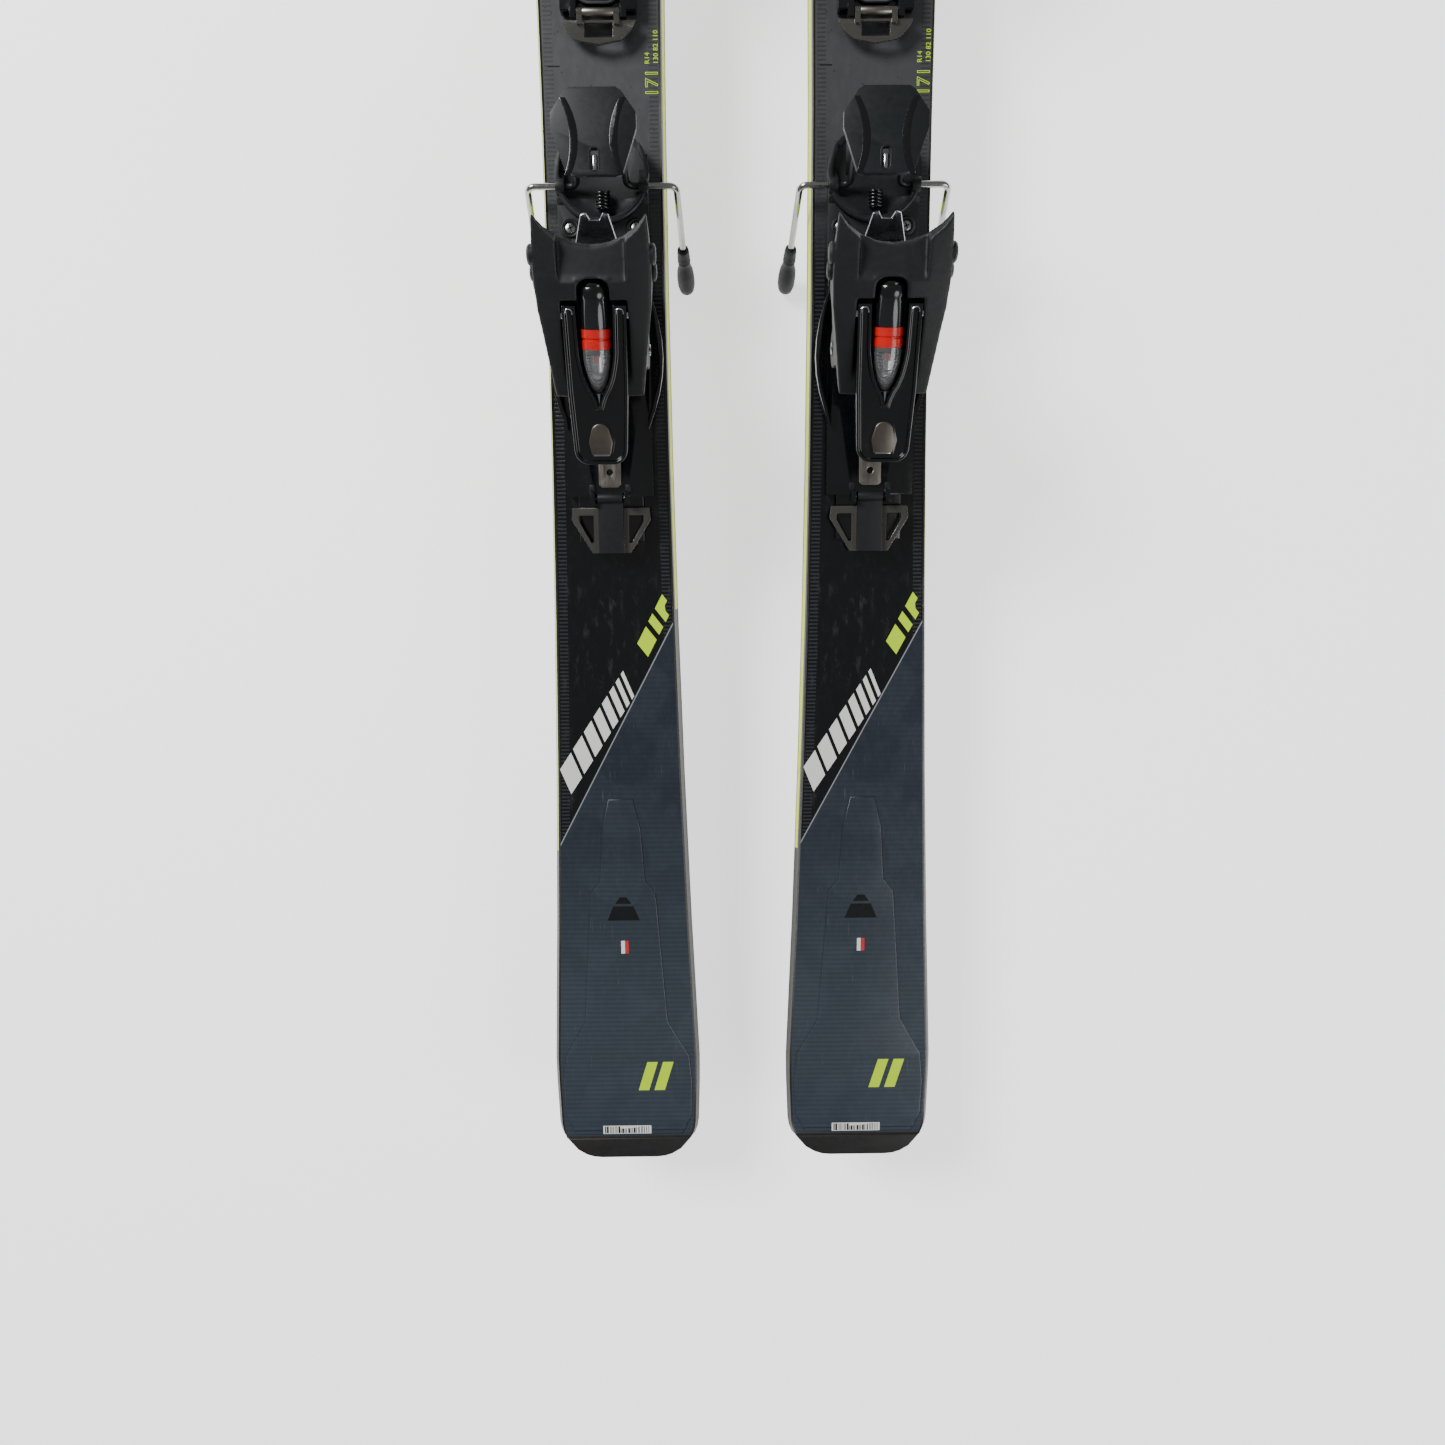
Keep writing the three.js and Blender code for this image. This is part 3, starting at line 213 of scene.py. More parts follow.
# Sintered steel, tumbled to a warm grey satin.
SINTERED = metal("sintered_steel_satin", "#7c756c", "#5f5a54", 0.38)
# Rolled spring strip of the pressure leaf, rubbed along its length.
STRIP = metal("rolled_strip_satin", "#9a958c", "#7a766f", 0.36, lines=(1.0, 0.08, 1.0))
# Zinc-plated screws: a cold grey shine with dull spots.
ZINC = metal("zinc_plated_steel", "#b4b7b6", "#90938f", 0.28)
# Edge steel, ground along the ski: fine bright lines.
EDGE = metal("edge_steel_ground", "#b2b5b6", "#83827c", 0.3, lines=(1.2, 0.03, 1.2), depth=0.006)

# The printed film: its zones are set out on the plan of the ski.
LENGTH = part_box("steel_edge")[1].y
WAIST_PLACE = 706.0
WAIST_HALF = 41.0
SIDECUT_RADIUS = 14000.0
DIAGONAL = (Vector((45.4, 422.0)), Vector((-47.7, 245.0)))
TICK_PITCH = 2.7
WEAVE_ACROSS = 3.7  # yarn spacings, drawn coarser than the real ones so that they show
WEAVE_ALONG = 1.7
CORE_STRIP = 18.0
GRINDING_PITCH = 0.9


def sidewall_finish(ski):
    """ABS milled lengthwise: neon below, black along its upper bevel and at the ends of the ski."""
    f = finish(f"{ski}_abs_sidewall_neon", "#cdd95a", 0.42, origin=SKI_PLACE[ski].translation)
    tree = f.tree
    stretched = add(tree, MAPPING, {}, {"Vector": f.place, "Scale": (1.4, 0.02, 1.4)})
    cutter = add(tree, NOISE, {}, {"Vector": stretched, "Scale": 1.5, "Detail": 3.0})
    dirt = add(tree, NOISE, {}, {"Vector": f.place, "Scale": 1 / 9, "Detail": 8.0, "Roughness": 0.7})
    soiled = add(tree, RANGE, {}, {0: dirt, 1: 0.5, 2: 0.8, 3: 0.0, 4: 0.6})
    neon = add(tree, MIX, COLOURS, {0: soiled, 6: linear("#cfe02a"), 7: linear("#8f9160")})
    split = add(tree, "ShaderNodeSeparateXYZ", {}, {0: f.place})
    middle = add(tree, MATH, SUBTRACT, {0: split.outputs[1], 1: LENGTH / 2})
    reach = add(tree, MATH, ABSOLUTE, {0: middle})
    bevel_foot = add(tree, RANGE, SMOOTH, {0: reach, 1: 330.0, 2: 780.0, 3: 9.3, 4: 5.2})
    upper = add(tree, MATH, GREATER, {0: split.outputs[2], 1: bevel_foot})
    right = add(tree, MATH, GREATER, {0: split.outputs[0], 1: 0.0})
    far, near = LENGTH / 2 - DIAGONAL[1].y, LENGTH / 2 - DIAGONAL[0].y
    limit = add(tree, MATH, MULTIPLY_ADD, {0: right, 1: near - far, 2: far})
    end = add(tree, MATH, GREATER, {0: reach, 1: limit})
    black = add(tree, MATH, {"operation": "MAXIMUM"}, {0: upper, 1: end})
    feed(f, "Base Color", add(tree, MIX, COLOURS, {0: black, 6: neon, 7: linear("#17160f")}))
    feed(f, "Normal", add(tree, BUMP, {}, {"Height": cutter, "Distance": 0.02 * MM, "Strength": 1.0}))
    return f.material


def wood_finish():
    """Poplar and beech laminate of the core: upright strips with straight grain along the ski."""
    f = finish("poplar_core_laminated", "#c39a63", 0.6)
    strips = add(f.tree, WAVE, BANDS_X,
                 {"Vector": f.place, "Scale": WAVE_PITCH / CORE_STRIP, "Distortion": 0.3})
    stretched = add(f.tree, MAPPING, {}, {"Vector": f.place, "Scale": (1.0, 0.04, 1.0)})
    grain = add(f.tree, NOISE, {}, {"Vector": stretched, "Scale": 0.9, "Detail": 5.0})
    mixed = add(f.tree, MIX, COLOURS, {0: strips.outputs[1], 6: linear("#cfa971"), 7: linear("#a97c49")})
    feed(f, "Base Color", mixed)
    feed(f, "Normal", add(f.tree, BUMP, {}, {"Height": grain, "Distance": 0.05 * MM, "Strength": 1.0}))
    return f.material


def base_finish():
    """Sintered graphite polyethylene, stone-ground: near black with a lengthwise cross structure."""
    f = finish("polyethylene_base_ground", "#121316", 0.42)
    heights = []
    for turn in (0.06, -0.06):
        slewed = add(f.tree, MAPPING, {}, {"Vector": f.place, "Rotation": (0, 0, turn)})
        lines = add(f.tree, WAVE, BANDS_X,
                    {"Vector": slewed, "Scale": WAVE_PITCH / GRINDING_PITCH, "Distortion": 0.6})
        heights.append(lines.outputs[1])
    both = add(f.tree, MATH, ADD, {0: heights[0], 1: heights[1]})
    feed(f, "Normal", add(f.tree, BUMP, {}, {"Height": both, "Distance": 0.02 * MM, "Strength": 1.0}))
    wax = add(f.tree, NOISE, {}, {"Vector": f.place, "Scale": 1 / 30, "Detail": 5.0})
    feed(f, "Roughness", add(f.tree, RANGE, {}, {0: wax, 1: 0.3, 2: 0.7, 3: 0.32, 4: 0.52}))
    return f.material


WOOD = wood_finish()
BASE = base_finish()
# The lacquered edge of the topsheet, rubbed brown-black.
RIM = moulded("topsheet_rim_black", "#17160f", "#232118", 0.35, grain=1.2, depth=0.01)
# Tail guard of black polyurethane, scuffed where the ski is stood down.
GUARD = moulded("polyurethane_guard_black", "#121214", "#211f1d", 0.5, grain=1.0, depth=0.03, spread=0.12)


def topsheet_finish(ski):
    """Polyamide film over a weave: grey under the boot, glossy black round it, slate at the ends."""
    f = finish(f"{ski}_polyamide_topsheet_printed", "#4b4c50", 0.35, origin=SKI_PLACE[ski].translation,
               Coat_Weight=0.15)
    tree = f.tree
    split = add(tree, "ShaderNodeSeparateXYZ", {}, {0: f.place})
    x, y = split.outputs[0], split.outputs[1]
    from_middle = add(tree, MATH, SUBTRACT, {0: y, 1: LENGTH / 2})
    reach = add(tree, MATH, ABSOLUTE, {0: from_middle})
    from_end = add(tree, MATH, SUBTRACT, {0: LENGTH / 2, 1: reach})

    # the diagonal: how far towards the boot from it
    direction = (DIAGONAL[0] - DIAGONAL[1]).normalized()
    aside = add(tree, MATH, SUBTRACT, {0: x, 1: DIAGONAL[0].x})
    across = add(tree, MATH, MULTIPLY, {0: aside, 1: -direction.y})
    along = add(tree, MATH, SUBTRACT, {0: from_end, 1: DIAGONAL[0].y})
    beside = add(tree, MATH, MULTIPLY_ADD, {0: along, 1: direction.x, 2: across})
    ahead = add(tree, RANGE, SMOOTH, {0: beside, 1: -0.15, 2: 0.15})
    distance = add(tree, MATH, ABSOLUTE, {0: beside})
    on_line = add(tree, RANGE, SMOOTH, {0: distance, 1: 0.25, 2: 0.55, 3: 1.0, 4: 0.0})

    # the slate end: a plain weave under the film, paler towards the tail, with dark facets
    pale = add(tree, RANGE, SMOOTH, {0: from_end, 1: 330.0, 2: 90.0})
    slate = add(tree, MIX, COLOURS, {0: pale, 6: linear("#1d2530"), 7: linear("#353e47")})
    tail = add(tree, RANGE, SMOOTH, {0: from_end, 1: 75.0, 2: 20.0, 3: 0.0, 4: 0.6})
    slate = add(tree, MIX, COLOURS, {0: tail, 6: slate, 7: linear("#2a3442")})
    facets = add(tree, NOISE, {}, {"Vector": f.place, "Scale": 1 / 45, "Detail": 1.0})
    facets = add(tree, RANGE, SMOOTH, {0: facets, 1: 0.5, 2: 0.56, 3: 0.0, 4: 0.06})
    slate = add(tree, MIX, COLOURS, {0: facets, 6: slate, 7: linear("#5a6670")})
    yarn_across = add(tree, WAVE, BANDS_Y, {"Vector": f.place, "Scale": WAVE_PITCH / WEAVE_ACROSS,
                                            "Distortion": 0.5, "Detail": 1.0})
    yarn_along = add(tree, WAVE, BANDS_X, {"Vector": f.place, "Scale": WAVE_PITCH / WEAVE_ALONG,
                                           "Distortion": 0.4, "Detail": 1.0})
    weave = add(tree, MATH, MULTIPLY, {0: yarn_along.outputs[1], 1: 0.35})
    weave = add(tree, MATH, MULTIPLY_ADD, {0: yarn_across.outputs[1], 1: 0.65, 2: weave})
    gaps = add(tree, RANGE, SMOOTH, {0: weave, 1: 0.25, 2: 0.9, 3: 0.32, 4: 0.0})
    slate = add(tree, MIX, COLOURS, {0: gaps, 6: slate, 7: linear("#141b24")})

    # the dark middle: grey under the boot, black beyond, with snow dust and specks
    near_boot = add(tree, RANGE, SMOOTH, {0: from_end, 1: 640.0, 2: 705.0})
    dark = add(tree, MIX, COLOURS, {0: near_boot, 6: linear("#07080b"), 7: linear("#3b3c3f")})
    pulled = add(tree, MAPPING, {}, {"Vector": f.place, "Scale": (1.0, 0.35, 1.0)})
    powder = add(tree, NOISE, {}, {"Vector": pulled, "Scale": 1 / 6, "Detail": 8.0, "Roughness": 0.7})
    powder = add(tree, RANGE, SMOOTH, {0: powder, 1: 0.52, 2: 0.8})
    drifts = add(tree, NOISE, {}, {"Vector": f.place, "Scale": 1 / 40, "Detail": 2.0})
    drifts = add(tree, RANGE, SMOOTH, {0: drifts, 1: 0.4, 2: 0.65, 3: 0.0, 4: 0.28})
    dust = add(tree, MATH, MULTIPLY, {0: powder, 1: drifts})
    dark = add(tree, MIX, COLOURS, {0: dust, 6: dark, 7: linear("#6f727a")})
    cells = add(tree, "ShaderNodeTexVoronoi", {}, {"Vector": f.place, "Scale": 1 / 4.5, "Randomness": 1.0})
    specks = add(tree, MATH, LESS, {0: cells, 1: 0.13})
    patches = add(tree, NOISE, {}, {"Vector": f.place, "Scale": 1 / 18, "Detail": 2.0})
    patches = add(tree, RANGE, SMOOTH, {0: patches, 1: 0.48, 2: 0.6, 3: 0.0, 4: 0.8})
    specks = add(tree, MATH, MULTIPLY, {0: specks, 1: patches})
    specks = add(tree, MATH, MULTIPLY, {0: specks, 1: near_boot})
    dark = add(tree, MIX, COLOURS, {0: specks, 6: dark, 7: linear("#17181a")})

    # ticks along both edges, a little raised
    from_waist = add(tree, MATH, SUBTRACT, {0: y, 1: WAIST_PLACE})
    square = add(tree, MATH, MULTIPLY, {0: from_waist, 1: from_waist})
    half_width = add(tree, MATH, MULTIPLY_ADD, {0: square, 1: 0.5 / SIDECUT_RADIUS, 2: WAIST_HALF})
    side = add(tree, MATH, ABSOLUTE, {0: x})
    inside = add(tree, MATH, SUBTRACT, {0: half_width, 1: side})
    outer = add(tree, MATH, GREATER, {0: inside, 1: 4.6})
    inner = add(tree, MATH, LESS, {0: inside, 1: 10.6})
    band = add(tree, MATH, MULTIPLY, {0: outer, 1: inner})
    count = add(tree, MATH, {"operation": "DIVIDE"}, {0: y, 1: TICK_PITCH})
    step = add(tree, MATH, {"operation": "FRACT"}, {0: count})
    tick = add(tree, MATH, LESS, {0: step, 1: 0.42})
    ticks = add(tree, MATH, MULTIPLY, {0: band, 1: tick})
    ticks = add(tree, MATH, MULTIPLY, {0: ticks, 1: 0.75})
    tick_colour = add(tree, MIX, COLOURS, {0: near_boot, 6: linear("#33353b"), 7: linear("#232427")})
    dark = add(tree, MIX, COLOURS, {0: ticks, 6: dark, 7: tick_colour})

    # hairline scratches over everything, mostly lengthwise
    colour = add(tree, MIX, COLOURS, {0: ahead, 6: slate, 7: dark})
    colour = add(tree, MIX, COLOURS, {0: on_line, 6: colour, 7: linear("#8d9196")})
    drawn = add(tree, MAPPING, {}, {"Vector": f.place, "Scale": (1.0, 0.02, 1.0)})
    hairs = add(tree, NOISE, {}, {"Vector": drawn, "Scale": 2.2, "Detail": 2.0})
    hairs = add(tree, RANGE, SMOOTH, {0: hairs, 1: 0.69, 2: 0.74})
    worn = add(tree, NOISE, {}, {"Vector": f.place, "Scale": 1 / 30, "Detail": 4.0})
    worn = add(tree, RANGE, SMOOTH, {0: worn, 1: 0.5, 2: 0.7, 3: 0.0, 4: 0.5})
    scratch = add(tree, MATH, MULTIPLY, {0: hairs, 1: worn})
    feed(f, "Base Color", add(tree, MIX, COLOURS, {0: scratch, 6: colour, 7: linear("#7b8088")}))

    gloss_dark = add(tree, RANGE, {}, {0: near_boot, 3: 0.16, 4: 0.4})
    gloss = add(tree, MIX, {}, {0: ahead, 2: 0.36, 3: gloss_dark})
    rubbed = add(tree, MAPPING, {}, {"Vector": f.place, "Scale": (1.0, 0.5, 1.0)})
    marks = add(tree, NOISE, {}, {"Vector": rubbed, "Scale": 1 / 5, "Detail": 7.0, "Roughness": 0.7})
    marks = add(tree, RANGE, SMOOTH, {0: marks, 1: 0.4, 2: 0.75, 3: 0.0, 4: 0.16})
    marks = add(tree, MATH, MULTIPLY_ADD, {0: scratch, 1: 0.3, 2: marks})
    feed(f, "Roughness", add(tree, MATH, ADD, {0: gloss, 1: marks}))
    slate_share = add(tree, MATH, SUBTRACT, {0: 1.0, 1: ahead})
    height = add(tree, MATH, MULTIPLY, {0: weave, 1: slate_share})
    raised = add(tree, MATH, MULTIPLY, {0: ticks, 1: ahead})
    height = add(tree, MATH, MULTIPLY_ADD, {0: raised, 1: 0.8, 2: height})
    feed(f, "Normal", add(tree, BUMP, {}, {"Height": height, "Distance": 0.03 * MM, "Strength": 1.0}))
    return f.material


TOPSHEET = {ski: topsheet_finish(ski) for ski in SKIS}
SIDEWALL = {ski: sidewall_finish(ski) for ski in SKIS}

# ------------------------------------------------------------------ modelling


def copied(ski, node, merge=0.001, flat=True):
    """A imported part's own solid in the ski's frame, its triangles joined into flat faces."""
    bm = bmesh.new()
    bm.from_mesh(frame["nodes"][f"{ski}_{node}"].data)
    bm.transform(SKI_PLACE[ski].inverted())
    bmesh.ops.remove_doubles(bm, verts=bm.verts, dist=merge)
    if flat:
        bmesh.ops.dissolve_limit(bm, angle_limit=math.radians(1), verts=bm.verts, edges=bm.edges)
    return bm


def rounded(bm, radius, segments=2, angle=32):
    """Rounds every edge sharper than the angle."""
    edges = [e for e in bm.edges if len(e.link_faces) == 2 and e.calc_face_angle() > math.radians(angle)]
    bmesh.ops.bevel(bm, geom=edges, offset=radius, offset_type="OFFSET", segments=segments, profile=0.5,
                    affect="EDGES", clamp_overlap=True, material=-1)
    return bm


def thickened(bm, height):
    """A flat shape with its faces drawn up into a solid."""
    top = bmesh.ops.extrude_face_region(bm, geom=bm.faces[:])["geom"]
    lifted = [v for v in top if isinstance(v, bmesh.types.BMVert)]
    bmesh.ops.translate(bm, vec=(0, 0, height), verts=lifted)
    return bm


def slab(points, low, high):
    """A flat plate between two heights, from its outline."""
    bm = bmesh.new()
    bm.faces.new([bm.verts.new((px, py, low)) for px, py in points])
    thickened(bm, high - low)
    bmesh.ops.recalc_face_normals(bm, faces=bm.faces)
    return bm


def arc(cx, cy, radius, start, end, count):
    """Points on an arc between two angles in degrees."""
    angles = [math.radians(start + (end - start) * i / count) for i in range(count + 1)]
    return [(cx + radius * math.cos(a), cy + radius * math.sin(a)) for a in angles]


def rounded_plan(half_width, rear, front, radius, count=5):
    """A rectangle with round corners."""
    right, left = half_width - radius, radius - half_width
    low, high = rear + radius, front - radius
    return (arc(right, low, radius, -90, 0, count) + arc(right, high, radius, 0, 90, count)
            + arc(left, high, radius, 90, 180, count) + arc(left, low, radius, 180, 270, count))


def turned(profile, steps=32, turn=360.0):
    """A profile of (radius, place) pairs spun about the Y axis."""
    bm = bmesh.new()
    verts = [bm.verts.new((radius, place, 0)) for radius, place in profile]
    edges = [bm.edges.new(pair) for pair in zip(verts, verts[1:])]
    bmesh.ops.spin(bm, geom=verts + edges, cent=(0, 0, 0), axis=(0, 1, 0), angle=math.radians(turn),
                   steps=steps, use_merge=turn == 360.0)
    bmesh.ops.remove_doubles(bm, verts=bm.verts, dist=0.001)
    bmesh.ops.recalc_face_normals(bm, faces=bm.faces)
    return bm


UPRIGHT = Matrix.Rotation(math.radians(90), 4, "X")
SIDEWAYS = Matrix.Rotation(math.radians(-90), 4, "Z")
OUTWARD = {1: SIDEWAYS, -1: Matrix.Rotation(math.radians(90), 4, "Z")}


def bent(points, radius, count=6):
    """A route with each corner rounded to a bend radius."""
    points = [Vector(p) for p in points]
    route = [points[0]]
    for before, corner, after in zip(points, points[1:], points[2:]):
        to_before, to_after = (before - corner).normalized(), (after - corner).normalized()
        opening = to_before.angle(to_after)
        back = radius / math.tan(opening / 2)
        start, end = corner + to_before * back, corner + to_after * back
        centre = corner + (to_before + to_after).normalized() * (radius / math.sin(opening / 2))
        first, last = start - centre, end - centre
        for i in range(count + 1):
            route.append(centre + first.slerp(last, i / count, first).normalized() * radius)
    return route + [points[-1]]


def swept(route, radius, sides=6, ring=False):
    """A round bar along a route, or a ring of it if the route's ends are to meet."""
    curve = bpy.data.curves.new("route", "CURVE")
    curve.dimensions = "3D"
    curve.bevel_depth = radius
    curve.bevel_resolution = sides
    curve.use_fill_caps = True
    spline = curve.splines.new("POLY")
    spline.points.add(len(route) - 1)
    for point, place in zip(spline.points, route):
        point.co = (*place, 1)
    spline.use_cyclic_u = ring
    return curve_mesh(curve)


def curve_mesh(curve):
    """A curve or text as a mesh ready to shape, with the curve thrown away."""
    holder = bpy.data.objects.new("holder", curve)
    mesh = bpy.data.meshes.new_from_object(holder)
    bm = bmesh.new()
    bm.from_mesh(mesh)
    bmesh.ops.remove_doubles(bm, verts=bm.verts, dist=0.0005)
    bpy.data.objects.remove(holder)
    bpy.data.curves.remove(curve)
    bpy.data.meshes.remove(mesh)
    return bm


def coil(radius, wire, start, end, turns, sides=3):
    """A helical spring along Y."""
    count = int(turns * 14)
    route = []
    for i in range(count + 1):
        angle = 2 * math.pi * turns * i / count
        route.append((radius * math.cos(angle), start + (end - start) * i / count, radius * math.sin(angle)))
    return swept(route, wire, sides)


def split_at(bm, place, direction, **ends):
    """Divides a shape along a plane."""
    bmesh.ops.bisect_plane(bm, geom=bm.verts[:] + bm.edges[:] + bm.faces[:], dist=0.0001,
                           plane_co=place, plane_no=direction, **ends)


def closed(bm):
    """A shape with its open ends filled."""
    bmesh.ops.holes_fill(bm, edges=[e for e in bm.edges if e.is_boundary])
    return bm


def joined(*shapes):
    """Several shapes as one."""
    whole = bmesh.new()
    for shape in shapes:
        mesh = bpy.data.meshes.new("shape")
        shape.to_mesh(mesh)
        shape.free()
        whole.from_mesh(mesh)
        bpy.data.meshes.remove(mesh)
    return whole


def moved(bm, *steps):
    """A shape after a row of moves, the first one first."""
    for step in steps:
        bm.transform(step if isinstance(step, Matrix) else Matrix.Translation(step))
    return bm


def piece(bm, ski, name, body, materials, stands_for=(), angle=32):
    """A finished shape as an object at its place, riding on a body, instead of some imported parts."""
    bmesh.ops.recalc_face_normals(bm, faces=bm.faces)
    bm.transform(SKI_PLACE[ski])
    mesh = bpy.data.meshes.new(f"{ski}_{name}")
    bm.to_mesh(mesh)
    bm.free()
    for material in materials:
        mesh.materials.append(material)
    mesh.shade_smooth()
    mesh.set_sharp_from_angle(angle=math.radians(angle))
    made = bpy.data.objects.new(f"{ski}_{name}", mesh)
    bpy.context.scene.collection.objects.link(made)
    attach(made, f"{ski}_{body}")
    if stands_for:
        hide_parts(*[f"{ski}_{node}" for node in stands_for])
    return made


def painted(ski, node, material):
    """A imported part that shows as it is, in its own finish."""
    slots = frame["nodes"][f"{ski}_{node}"].data.materials
    slots.clear()
    slots.append(material)


# ------------------------------------------------------------------ the ski

RIM_WIDTH = 1.3
RIM_DROP = 0.45
RELIEF = 0.9
FACING_UP = 0.7  # an upper face's normal points up by more than this


def topsheet(ski):
    """The film over the whole ski, its border chamfered and black."""
    bm = copied(ski, "topsheet", flat=False)
    bmesh.ops.join_triangles(bm, faces=bm.faces, angle_face_threshold=3.1, angle_shape_threshold=3.1)
    bmesh.ops.recalc_face_normals(bm, faces=bm.faces)
    top = [f for f in bm.faces if f.normal.z > FACING_UP]
    edges = [e for e in bm.edges if {o.normal.z > FACING_UP for o in e.link_faces} == {True, False}]
    border = {v for e in edges for v in e.verts}
    ring = bmesh.ops.inset_region(bm, faces=top, thickness=RIM_WIDTH, use_boundary=True, use_even_offset=True)
    for face in ring["faces"]:
        face.material_index = 1
    bmesh.ops.translate(bm, vec=(0, 0, -RIM_DROP), verts=list(border))
    return piece(bm, ski, "topsheet_film", "ski", [TOPSHEET[ski], RIM], ["topsheet"], angle=12)


def relief_plan():
    """The raised panel of the tail: narrow ahead, stepping out to the full width at its rear."""
    right = [(9, 285), (14, 262), (16.6, 222), (24, 213), (31.2, 111), (47.1, 82.5),
             (49, 60), (48, 34), (41, 19)]
    return right + [(-px, py) for px, py in reversed(right)]


def surface_of(made):
    """The finished face of a piece, to lay print on, in the ski's frame."""
    bm = bmesh.new()
    for one in made:
        bm.from_mesh(one.data)
    bm.transform(SKI_PLACE[made[0].name.split("_")[0]].inverted())
    tree = BVHTree.FromBMesh(bm)
    creases = sorted({round(v.co.y, 2) for v in bm.verts})
    bm.free()
    return tree, creases


def laid(bm, surface, lift, thickness):
    """A flat shape laid down on the film, following it, with a little thickness."""
    tree, creases = surface
    low, high = min(v.co.y for v in bm.verts), max(v.co.y for v in bm.verts)
    for crease in creases:
        if low < crease < high:
            split_at(bm, (0, crease, 0), (0, 1, 0))
    for vert in bm.verts:
        hit = tree.ray_cast(Vector((vert.co.x, vert.co.y, 300)), Vector((0, 0, -1)))[0]
        vert.co.z = hit.z + lift
    bmesh.ops.recalc_face_normals(bm, faces=bm.faces)
    if sum(f.normal.z * f.calc_area() for f in bm.faces) < 0:
        bmesh.ops.reverse_faces(bm, faces=bm.faces)
    return thickened(bm, thickness)


def flat(*outlines):
    """Flat shapes from their outlines."""
    bm = bmesh.new()
    for points in outlines:
        bm.faces.new([bm.verts.new((px, py, 0)) for px, py in points])
    return bm


def lettering(words, size, outlined=False):
    """Plain numbers, set along the ski, read from its right side, starting at the origin."""
    curve = bpy.data.curves.new("numbers", "FONT")
    curve.body = words
    curve.size = size
    curve.resolution_u = 3
    if outlined:
        curve.fill_mode = "NONE"
        curve.bevel_depth = 0.2
        curve.bevel_resolution = 1
    bm = curve_mesh(curve)
    return moved(bm, Matrix.Rotation(math.radians(90), 4, "Z"))


def slanted(start, direction, lean, width, height):
    """A bar across a band: it starts at a point of the band's foot and leans with it."""
    foot = Vector(start)
    side = Vector((-direction.y, direction.x)) * height + direction * lean
    return [tuple(p) for p in (foot, foot + direction * width, foot + direction * width + side, foot + side)]


def graphics(ski, surface):
    """Plain bars, numbers and strips in the places where the film is printed."""
    prints = []
    direction = (DIAGONAL[0] - DIAGONAL[1]).normalized()
    along, side, place = Vector((0.551, 0.834)), Vector((-7.5, 18.5)), 0.0
    white = []
    for width in (15, 12, 10, 8.5, 7, 5.5, 4, 3):
        near = Vector((-35.5, 289.0)) + along * place
        far = near + along * width
        white.append([tuple(p) for p in (near, far, far + side, near + side)])
        place += width + 3
    prints.append(("white_bars", flat(*white), WHITE_INK))
    neon, place = [], 0.0
    start = DIAGONAL[1] + direction * 160 + Vector((-direction.y, direction.x)) * 5
    for width in (22, 10, 18):
        neon.append(slanted(start + direction * place, direction, 5, width * 0.62, 11))
        place += width * 0.62 + 4
    prints.append(("neon_bars", flat(*neon), NEON_INK))
    lean = [(8, 55), (16, 55), (23, 78), (15, 78)]
    prints.append(("neon_tail_mark", flat(lean, [(px + 12, py) for px, py in lean]), NEON_INK))
    prints.append(("dark_tail_mark", flat([(-12, 192), (12, 192), (7.5, 203), (-7.5, 203)],
                                          [(-6, 205), (6, 205), (2.5, 210), (-2.5, 210)]), DARK_INK_AND_SHADE))
    prints.append(("white_tag", flat([(-2.4, 166), (0.4, 166), (0.4, 176), (-2.4, 176)]), WHITE_INK))
    prints.append(("red_tag", flat([(0.7, 166), (3.2, 166), (3.2, 176), (0.7, 176)]), RED_INK))
    prints.append(("stock_strip", flat([(-20, 19.4), (17, 19.4), (17, 26), (-20, 26)]), WHITE_INK))
    draw, bars, place = random.Random(7), [], -18.6
    while place < 15.4:
        width = draw.choice((0.5, 0.5, 0.9, 1.4))
        bars.append([(place, 20), (place + width, 20), (place + width, 25.4), (place, 25.4)])
        place += width + draw.choice((0.5, 0.8, 1.2))
    centre_mark = flat([(-34.5, 772), (-26.5, 772), (-26.5, 772.8), (-34.5, 772.8)])
    prints.append(("boot_centre_mark", centre_mark, DARK_INK_AND_SHADE))
    for name, bm, ink in prints:
        piece(laid(bm, surface, 0.02, 0.05), ski, f"printed_{name}", "ski", [ink])
    piece(laid(flat(*bars), surface, 0.09, 0.03), ski, "printed_stock_bars", "ski", [DARK_INK_AND_SHADE])
    height = surface[0].ray_cast(Vector((33, 775, 300)), Vector((0, 0, -1)))[0].z
    for name, words, size, place, outlined in (
            ("size_number", "171", 11.5, (36.6, 753.6), True),
            ("radius_number", "R14", 4.4, (31.4, 773.4), False),
            ("width_numbers", "130 82 110", 4.4, (37.0, 773.4), False)):
        bm = lettering(words, size, outlined)
        if outlined:
            bmesh.ops.scale(bm, vec=(1, 1, 0.35), verts=bm.verts)
            moved(bm, (*place, height + 0.05))
        else:
            laid(moved(bm, (*place, 0)), surface, 0.02, 0.05)
        piece(bm, ski, f"printed_{name}", "ski", [NEON_INK])


